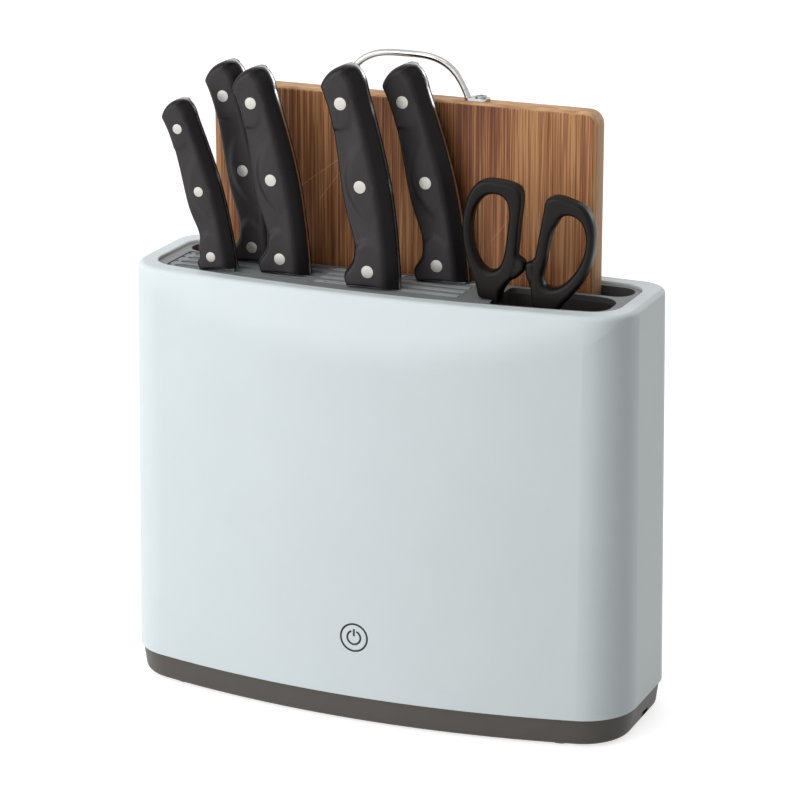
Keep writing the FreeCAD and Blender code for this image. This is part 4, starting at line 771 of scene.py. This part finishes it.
# %% Metal recipe
def ground_metal(name, dark, light, lines, gloss, relief_mm):
    finish = Finish(name, Metallic=1.0)
    grind = finish.noise(lines, detail=3.0, roughness=0.7)
    patches = finish.noise(30.0, detail=3.0)
    tone = finish.plus(finish.times(grind, 0.6), finish.times(patches, 0.4))
    return finish.done(finish.tones(tone, (0.3, dark), (0.7, light)),
                       finish.between(grind, 0.3, 0.7, *gloss), (grind, relief_mm / 1000.0))


coat_nodes(ground_metal("blade_steel", (176, 177, 178), (204, 205, 206),
                        (60.0, 4000.0, 1800.0), (0.24, 0.36), 0.002),
           *[knife + "_blade" for knife in KNIVES], "scissors_blade_left", "scissors_blade_right")
coat_nodes(ground_metal("rod_chrome", (166, 165, 163), (200, 200, 200), (90.0, 900.0, 900.0),
                        (0.10, 0.18), 0.001), "board_handle")
rivet_metal = ground_metal("rivet_metal", (176, 174, 168), (190, 188, 182), 1500.0,
                           (0.42, 0.55), 0.002)
screw_steel = ground_metal("screw_steel", (150, 150, 150), (186, 186, 186), 900.0,
                           (0.28, 0.42), 0.004)
coat_nodes(screw_steel, "scissors_screw")

# %% [markdown]
# ## Rivets and screws
#
# Fifteen rivets and eight screws repeat a few small shapes, so node trees make them. A
# rivet is turned and peened over, which leaves each end slightly domed. A screw has a
# domed head with a cross-shaped recess, and a thread that winds round its shank. Each tree
# builds one such piece from named sizes and puts a copy on every point it is given. The
# points and sizes are measured from the CAD nodes that the new pieces replace.

# %% Helper for trees of shapes
class Growth(Network):
    """A node tree for shapes: named sizes and objects go in, and one finish for all."""

    def __init__(self, name, objects=(), **sizes):
        super().__init__(bpy.data.node_groups.new(name, "GeometryNodeTree"))
        self.identifiers = {}
        self.socket("Geometry", "NodeSocketGeometry")
        for title, value in sizes.items():
            self.socket(title.replace("_", " "), "NodeSocketFloat").default_value = value
        for title in objects:
            self.socket(title, "NodeSocketObject")
        self.socket("Finish", "NodeSocketMaterial")
        self.socket("Geometry", "NodeSocketGeometry", "OUTPUT")
        self.given = self.add("NodeGroupInput").outputs

    def socket(self, title, kind, in_out="INPUT"):
        socket = self.tree.interface.new_socket(name=title, in_out=in_out, socket_type=kind)
        self.identifiers[title] = socket.identifier
        return socket

    def here(self):
        return self.parts(self.add("GeometryNodeInputPosition").outputs[0])

    def vector(self, *parts):
        return self.add("ShaderNodeCombineXYZ", *parts).outputs[0]

    def placed(self, shape, kind="GeometryNodeTransform", **sockets):
        """A shape moved as a whole, or point by point with GeometryNodeSetPosition."""
        return self.add(kind, Geometry=shape, **sockets).outputs[0]

    def together(self, kind, key, shapes, *order):
        """One node with several shapes on the same input."""
        node = self.add(kind, *order)
        for shape in shapes:
            self.feed(node, key, shape)
        return node

    def end(self, shape):
        """Ends the tree: makes copies real and gives everything the finish."""
        real = self.add("GeometryNodeRealizeInstances", shape)
        coated = self.add("GeometryNodeSetMaterial", Geometry=real.outputs[0],
                          Material=self.given["Finish"])
        self.add("NodeGroupOutput", coated.outputs[0])

    def end_on_points(self, shape, turn):
        """Ends the tree with a turned copy of the shape on each given point."""
        copies = self.add("GeometryNodeInstanceOnPoints", Points=self.given["Geometry"],
                          Instance=shape, Rotation=turn)
        self.end(copies.outputs[0])


def domed_disc(grow, radius, depth, dome, both_ends):
    """A turned disc along Z whose flat ends are raised towards the middle."""
    disc = grow.add("GeometryNodeMeshCylinder", Vertices=36, Fill_Segments=5, Radius=radius,
                    Depth=depth)
    x, y, z = grow.here()
    squares = [grow.times(value, value) for value in (x, y, radius)]
    share = grow.calc("DIVIDE", grow.plus(*squares[:2]), squares[2])
    rise = grow.times(grow.calc("SUBTRACT", 1.0, share), dome)
    side = grow.calc("SIGN", z) if both_ends else grow.calc("GREATER_THAN", z, 0.0)
    return grow.placed(disc.outputs["Mesh"], "GeometryNodeSetPosition",
                       Offset=grow.vector(0.0, 0.0, grow.times(rise, side)))


# %% Trees for a rivet and a screw
THREAD_PITCH = 0.00127
THREAD_DEPTH = 0.09
SHANK_OVERLAP = 0.0003
RECESS_REACH = 1.1
RECESS_DEPTH = 1.3
SECOND_BAR_DEPTH = 0.96


def rivet_tree():
    grow = Growth("rivets", Radius=0.003, Length=0.016, Dome=0.0002)
    given = grow.given
    body = domed_disc(grow, given["Radius"], given["Length"], given["Dome"], both_ends=True)
    grow.end_on_points(body, (math.radians(90.0), 0.0, 0.0))
    return grow


def screw_tree(name, turn):
    """Screw whose head stands on the given point, with its top towards +Z before turning."""
    grow = Growth(name, Head_Radius=0.003, Head_Height=0.0012, Dome=0.0005, Shank_Radius=0.0015,
                  Shank_Length=0.015, Recess_Width=0.0008)
    given = grow.given
    tall, wide = given["Head Height"], given["Recess Width"]
    head = domed_disc(grow, given["Head Radius"], tall, given["Dome"], both_ends=False)
    head = grow.placed(head, Translation=grow.vector(0.0, 0.0, grow.times(tall, 0.5)))

    shank = grow.add("GeometryNodeMeshCylinder", Vertices=24, Side_Segments=100,
                     Radius=given["Shank Radius"], Depth=given["Shank Length"])
    x, y, z = grow.here()
    phase = grow.plus(grow.times(z, 2.0 * math.pi / THREAD_PITCH), grow.calc("ARCTAN2", y, x))
    width = grow.plus(grow.times(grow.calc("SINE", phase), THREAD_DEPTH), 1.0 - THREAD_DEPTH)
    wound = grow.vector(grow.times(x, width), grow.times(y, width), z)
    shank = grow.placed(shank.outputs["Mesh"], "GeometryNodeSetPosition", Position=wound)
    half_shank = grow.times(given["Shank Length"], 0.5)
    lowered = grow.calc("SUBTRACT", SHANK_OVERLAP, half_shank)
    shank = grow.placed(shank, Translation=grow.vector(0.0, 0.0, lowered))

    reach = grow.times(given["Head Radius"], RECESS_REACH)
    deep = grow.times(tall, RECESS_DEPTH)
    shallower = grow.times(deep, SECOND_BAR_DEPTH)
    top = grow.vector(0.0, 0.0, grow.plus(tall, given["Dome"]))
    bars = [grow.placed(grow.add("GeometryNodeMeshCube", grow.vector(*size)).outputs["Mesh"],
                        Translation=top)
            for size in ((reach, wide, deep), (wide, reach, shallower))]
    cut = grow.together("GeometryNodeMeshBoolean", "Mesh 2", bars, head)
    cut.operation = "DIFFERENCE"
    both = grow.together("GeometryNodeJoinGeometry", 0, (cut.outputs[0], shank))
    grow.end_on_points(both.outputs[0], turn)
    return grow


# %% Separate solids of a CAD node
def solids_of(node):
    """Boxes of the separate solids in a CAD node, from left to right."""
    shape = welded(node)
    left = set(shape.verts)
    boxes = []
    while left:
        group = [left.pop()]
        for vert in group:
            for edge in vert.link_edges:
                other = edge.other_vert(vert)
                if other in left:
                    left.remove(other)
                    group.append(other)
        places = np.array([vert.co[:] for vert in group])
        boxes.append((places.min(axis=0), places.max(axis=0)))
    shape.free()
    return sorted(boxes, key=lambda box: box[0][0])


# %% Turn a node tree into a plain mesh piece
SEAM_WELD = 1e-7


def weld_seams(shape):
    bmesh.ops.remove_doubles(shape, verts=shape.verts, dist=SEAM_WELD)


def grown(name, grow, settings, points=()):
    """Runs a node tree on points and returns the result as a plain mesh object."""
    mesh = bpy.data.meshes.new(name)
    mesh.from_pydata([tuple(float(value) for value in point) for point in points], [], [])
    host = in_scene(name, mesh)
    modifier = host.modifiers.new(name, "NODES")
    modifier.node_group = grow.tree
    for title, value in settings.items():
        modifier[grow.identifiers[title]] = value
    graph = bpy.context.evaluated_depsgraph_get()
    mesh = bpy.data.meshes.new_from_object(host.evaluated_get(graph))
    host.modifiers.clear()
    host.data = mesh
    closed(name, mesh, weld_seams)
    return host


def planted(name, grow, sizes, finish, points, node, body):
    """Grows pieces on points and puts them in the place of a CAD node."""
    settings = {title: float(value) for title, value in sizes.items()}
    piece = grown(name, grow, {**settings, "Finish": finish}, points)
    smoothed(piece.data, SHARP_ON_METAL)
    hand_over(piece, node, body)


# %% Rivets in the knives
RIVET_DOMES = 0.0002

rivets = rivet_tree()
for knife in KNIVES:
    boxes = solids_of(knife + "_rivets")
    low, high = boxes[0]
    planted(knife + "_domed_rivets", rivets,
            {"Radius": (high[0] - low[0]) / 2, "Length": high[1] - low[1] - RIVET_DOMES},
            rivet_metal, [np.mean(box, axis=0) for box in boxes],
            knife + "_rivets", knife + "_knife")


# %% Screws in the board and the base
def planted_screws(name, turn, seat, shorter, body, **sizes):
    """Screws for a CAD node of screws. seat gives a head's height from a solid's box."""
    node = name + "_screws"
    boxes = solids_of(node)
    low, high = boxes[0]
    sizes = {title.replace("_", " "): value for title, value in sizes.items()}
    sizes["Head Radius"] = (high[0] - low[0]) / 2
    sizes["Shank Length"] = high[2] - low[2] - shorter
    points = [(*np.mean(box, axis=0)[:2], seat(*box)) for box in boxes]
    planted(name + "_threaded_screws", screw_tree(node, turn), sizes, screw_steel, points,
            node, body)


planted_screws("board", (0.0, 0.0, math.radians(35.0)), lambda low, high: high[2] - 0.0014,
               0.0012, "cutting_board", Head_Height=0.0009, Shank_Radius=0.0016)
planted_screws("base", (math.radians(180.0), 0.0, math.radians(20.0)),
               lambda low, high: low[2] + 0.0018, 0.0015, "cabinet", Head_Height=0.0013,
               Shank_Radius=0.0015, Recess_Width=0.0009)

# %% [markdown]
# ## Bamboo board
#
# The board is glued from upright bamboo strips about seven millimetres wide. Each strip
# has its own tone. Along it run fine streaks, fibres and threads, and darker brown bundles
# that start and end. Wide soft bands and short patches lie over the whole board. All of
# these are noises stretched along the grain, added up by their shares. The top shows end
# grain, small dots in bent rows, and the side edges are paler than the oiled face. A few
# thin knife scratches catch the eye.

# %% Bamboo strips and fibres
STRIPS_PER_METRE = 145.0
STRIP_WAVER = 0.004
STRIP_SHARE = 0.12
BUNDLE_SHARE = 0.5

bamboo = Finish("bamboo", Specular_IOR_Level=0.4)
across = bamboo.parts(bamboo.place)[0]
waver = bamboo.noise((8.0, 8.0, 5.0), detail=1.0)
bent = bamboo.plus(across, bamboo.times(bamboo.calc("SUBTRACT", waver, 0.5), STRIP_WAVER))
strip_number = bamboo.calc("FLOOR", bamboo.times(bent, STRIPS_PER_METRE))
strip_tone = bamboo.add("ShaderNodeTexWhiteNoise")
strip_tone.noise_dimensions = "1D"
bamboo.feed(strip_tone, "W", strip_number)
bands = bamboo.noise((28.0, 28.0, 2.0))
patches = bamboo.noise((24.0, 24.0, 11.0), detail=3.0, shift=(2.0, 6.0, 3.0))
streaks = bamboo.noise((420.0, 420.0, 4.0), detail=4.0, roughness=0.65)
fibres = bamboo.noise((1100.0, 1100.0, 10.0), shift=(3.0, 0.0, 0.0))
threads = bamboo.noise((2100.0, 2100.0, 24.0), detail=1.0, shift=(5.0, 2.0, 0.0))
bundles = bamboo.noise((1000.0, 1000.0, 12.0), detail=3.0, shift=(9.0, 4.0, 1.0))

tone = bamboo.times(strip_tone.outputs["Value"], STRIP_SHARE)
for share, pattern in ((0.18, bands), (0.12, patches), (0.12, streaks), (0.22, fibres),
                       (0.24, threads)):
    pattern = bamboo.between(pattern, 0.36, 0.64)
    tone = bamboo.plus(tone, bamboo.times(pattern, share))
face_wood = bamboo.tones(tone, (0.28, (98, 54, 28)), (0.44, (136, 82, 48)),
                         (0.56, (156, 100, 60)), (0.71, (194, 142, 95)))
bundle_lines = bamboo.times(bamboo.between(bundles, 0.58, 0.64), BUNDLE_SHARE)
face_wood = bamboo.mix(bundle_lines, face_wood, paint(92, 52, 34))

# %% End grain, edges and scratches
end_cells = bamboo.add("ShaderNodeTexVoronoi", Vector=bamboo.stretched((900.0, 1300.0, 60.0)))
end_rings = bamboo.noise((90.0, 320.0, 20.0), detail=3.0)
end_wood = bamboo.tones(end_rings, (0.35, (176, 128, 86)), (0.65, (216, 172, 126)))
end_dots = bamboo.between(end_cells.outputs["Distance"], 0.10, 0.32, 1.0, 0.0)
end_wood = bamboo.mix(end_dots, end_wood, paint(132, 88, 56))
wood = bamboo.mix(bamboo.between(bamboo.facing[2], 0.35, 0.60), face_wood, end_wood)

edge_wood = bamboo.tones(streaks, (0.35, (184, 134, 90)), (0.65, (220, 176, 130)))
on_side = bamboo.between(bamboo.calc("ABSOLUTE", bamboo.facing[0]), 0.35, 0.60, 0.0, 0.8)
wood = bamboo.mix(on_side, wood, edge_wood)


def scratch(start, end, width):
    """Mask of one thin straight scratch on the board's front, from start to end in X and Z."""
    length = math.dist(start, end)
    tilt = math.atan2(end[1] - start[1], end[0] - start[0])
    mapping = bamboo.add("ShaderNodeMapping", Vector=bamboo.place,
                         Location=(start[0], 0.0, start[1]), Rotation=(0.0, -tilt, 0.0))
    mapping.vector_type = "TEXTURE"
    along, _, aside = bamboo.parts(mapping.outputs[0])
    near = bamboo.between(bamboo.calc("ABSOLUTE", aside), width * 0.4, width, 1.0, 0.0)
    faded = bamboo.times(bamboo.between(along, 0.0, length * 0.1),
                         bamboo.between(along, length * 0.75, length, 1.0, 0.0))
    return bamboo.times(near, faded)


broken = bamboo.noise(500.0, detail=1.0)
scratches = 0.0
for start, end, width in (
    ((-0.062, 0.268), (-0.034, 0.289), 0.00030),
    ((-0.050, 0.262), (-0.036, 0.281), 0.00022),
    ((0.048, 0.250), (0.057, 0.262), 0.00013),
):
    scratches = bamboo.calc("MAXIMUM", scratch(start, end, width), scratches)
scratches = bamboo.times(scratches, bamboo.between(broken, 0.35, 0.6, 0.15, 0.6))
wood = bamboo.mix(scratches, wood, paint(232, 196, 158))

relief = bamboo.calc("SUBTRACT", streaks, bundle_lines)
coat_nodes(bamboo.done(wood, bamboo.between(streaks, 0.3, 0.7, 0.62, 0.46), (relief, 0.00006)),
           "board_slab")

# %% [markdown]
# ## Works inside
#
# These pieces are seen only with the insert lifted out or from below, yet each gets the
# finish of the real thing: green circuit board with fine copper tracks under the lacquer,
# dark glossy parts on it, ribbed aluminium on the heater, and clear covers over the lamps.

# %% Boards, lamps and heater
def circuit_board(name, colour, track):
    finish = Finish(name, Coat_Weight=0.4, Coat_Roughness=0.2)
    grid = finish.add("ShaderNodeTexBrick", Vector=finish.stretched(120.0), Scale=3.0,
                      Mortar_Size=0.05).outputs["Fac"]
    glass = finish.noise(900.0)
    lacquer = finish.tones(glass, (0.3, colour), (0.7, [part * 1.15 for part in colour]))
    return finish.done(finish.mix(grid, lacquer, paint(*track)),
                       finish.between(glass, 0.3, 0.7, 0.35, 0.5), (grid, 0.00003))


coat_nodes(circuit_board("green_board", (28, 84, 52), (46, 118, 72)), "control_board", "key_board")
coat_nodes(circuit_board("white_board", (206, 208, 204), (226, 226, 220)),
           "lamp_board_left", "lamp_board_right")
coat_nodes(moulded_plastic("part_black", (40, 40, 42), 4, (0.3, 0.45), 4.0, 0.006), "board_parts")
coat_nodes(ground_metal("socket_metal", (160, 160, 158), (196, 196, 194),
                        (700.0, 2600.0, 700.0), (0.26, 0.4), 0.003), "power_socket")
coat_nodes(ground_metal("heater_metal", (168, 166, 162), (196, 195, 192),
                        (3000.0, 200.0, 200.0), (0.3, 0.45), 0.01), "heater_core")
coat_nodes(soft_rubber("lamp_lens", (206, 204, 226), (0.2, 0.3)),
           "lamp_leds_left", "lamp_leds_right")

clear_cover = Finish("clear_cover", Transmission_Weight=0.85, IOR=1.46)
frost = clear_cover.noise(700.0)
coat_nodes(clear_cover.done(
    clear_cover.tones(frost, (0.3, (226, 230, 234)), (0.7, (240, 242, 246))),
    clear_cover.between(frost, 0.3, 0.7, 0.12, 0.28), (frost, 0.00001)),
    "lamp_cover_left", "lamp_cover_right")

# %% [markdown]
# ## Printed power sign
#
# Low on the front a ring and a power sign mark the touch key. It is printed, so it must
# hug the bowed front. A node tree draws the ring, the arc and the bar as flat curves in
# front of the shell, gives them a width, and then a ray from each point finds the shell
# behind it. The print ends up three hundredths of a millimetre proud of the plastic.

# %% Sign drawn by a node tree
SIGN_CENTRE = (0.0008, 0.0490)
RING_RADIUS = 0.00742
POWER_RADIUS = 0.0037
LINE_WIDTH = 0.00108
PRINT_THICKNESS = 0.00006
BAR_START = (0.0, 0.0008, 0.0)
BAR_END = (0.0, 0.0047, 0.0)
ARC_START = 112.0
ARC_SWEEP = 316.0
START_PLANE = -0.08
RAY_LENGTH = 0.2


def sign_tree():
    grow = Growth("power_sign", objects=("Shell",), Ring_Radius=RING_RADIUS,
                  Power_Radius=POWER_RADIUS, Line_Width=LINE_WIDTH, Thickness=PRINT_THICKNESS)
    given = grow.given
    ring = grow.add("GeometryNodeCurvePrimitiveCircle", Resolution=96,
                    Radius=given["Ring Radius"])
    arc = grow.add("GeometryNodeCurveArc", Resolution=48, Radius=given["Power Radius"],
                   Start_Angle=math.radians(ARC_START), Sweep_Angle=math.radians(ARC_SWEEP))
    bar = grow.add("GeometryNodeCurvePrimitiveLine", Start=BAR_START, End=BAR_END)
    bar = grow.add("GeometryNodeResampleCurve", Curve=bar.outputs[0], Count=8)
    lines = grow.together("GeometryNodeJoinGeometry", 0,
                          [curve.outputs[0] for curve in (ring, arc, bar)])
    section = grow.add("GeometryNodeCurvePrimitiveQuadrilateral", Width=given["Line Width"],
                       Height=given["Thickness"])
    ribbon = grow.add("GeometryNodeCurveToMesh", Curve=lines.outputs[0],
                      Profile_Curve=section.outputs[0], Fill_Caps=True)
    upright = grow.placed(ribbon.outputs[0], Rotation=(math.radians(90.0), 0.0, 0.0),
                          Translation=(SIGN_CENTRE[0], START_PLANE, SIGN_CENTRE[1]))

    shell = grow.add("GeometryNodeObjectInfo", Object=given["Shell"])
    shell.transform_space = "RELATIVE"
    x, _, z = grow.here()
    ray = grow.add("GeometryNodeRaycast", Target_Geometry=shell.outputs["Geometry"],
                   Source_Position=grow.vector(x, START_PLANE, z),
                   Ray_Direction=(0.0, 1.0, 0.0), Ray_Length=RAY_LENGTH)
    travel = grow.vector(0.0, ray.outputs["Hit Distance"], 0.0)
    grow.end(grow.placed(upright, "GeometryNodeSetPosition", Offset=travel))
    return grow


# %% Print the sign on the shell
sign_ink = Finish("sign_ink", Specular_IOR_Level=0.4)
ink_grain = sign_ink.noise(4000.0)
sign_ink.done(sign_ink.tones(ink_grain, (0.3, (30, 34, 34)), (0.7, (44, 48, 48))),
              sign_ink.between(ink_grain, 0.3, 0.7, 0.4, 0.55))
power_sign = grown("power_sign", sign_tree(), {"Shell": frame["nodes"]["outer_shell"],
                                               "Finish": sign_ink.material})
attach(power_sign, "cabinet")
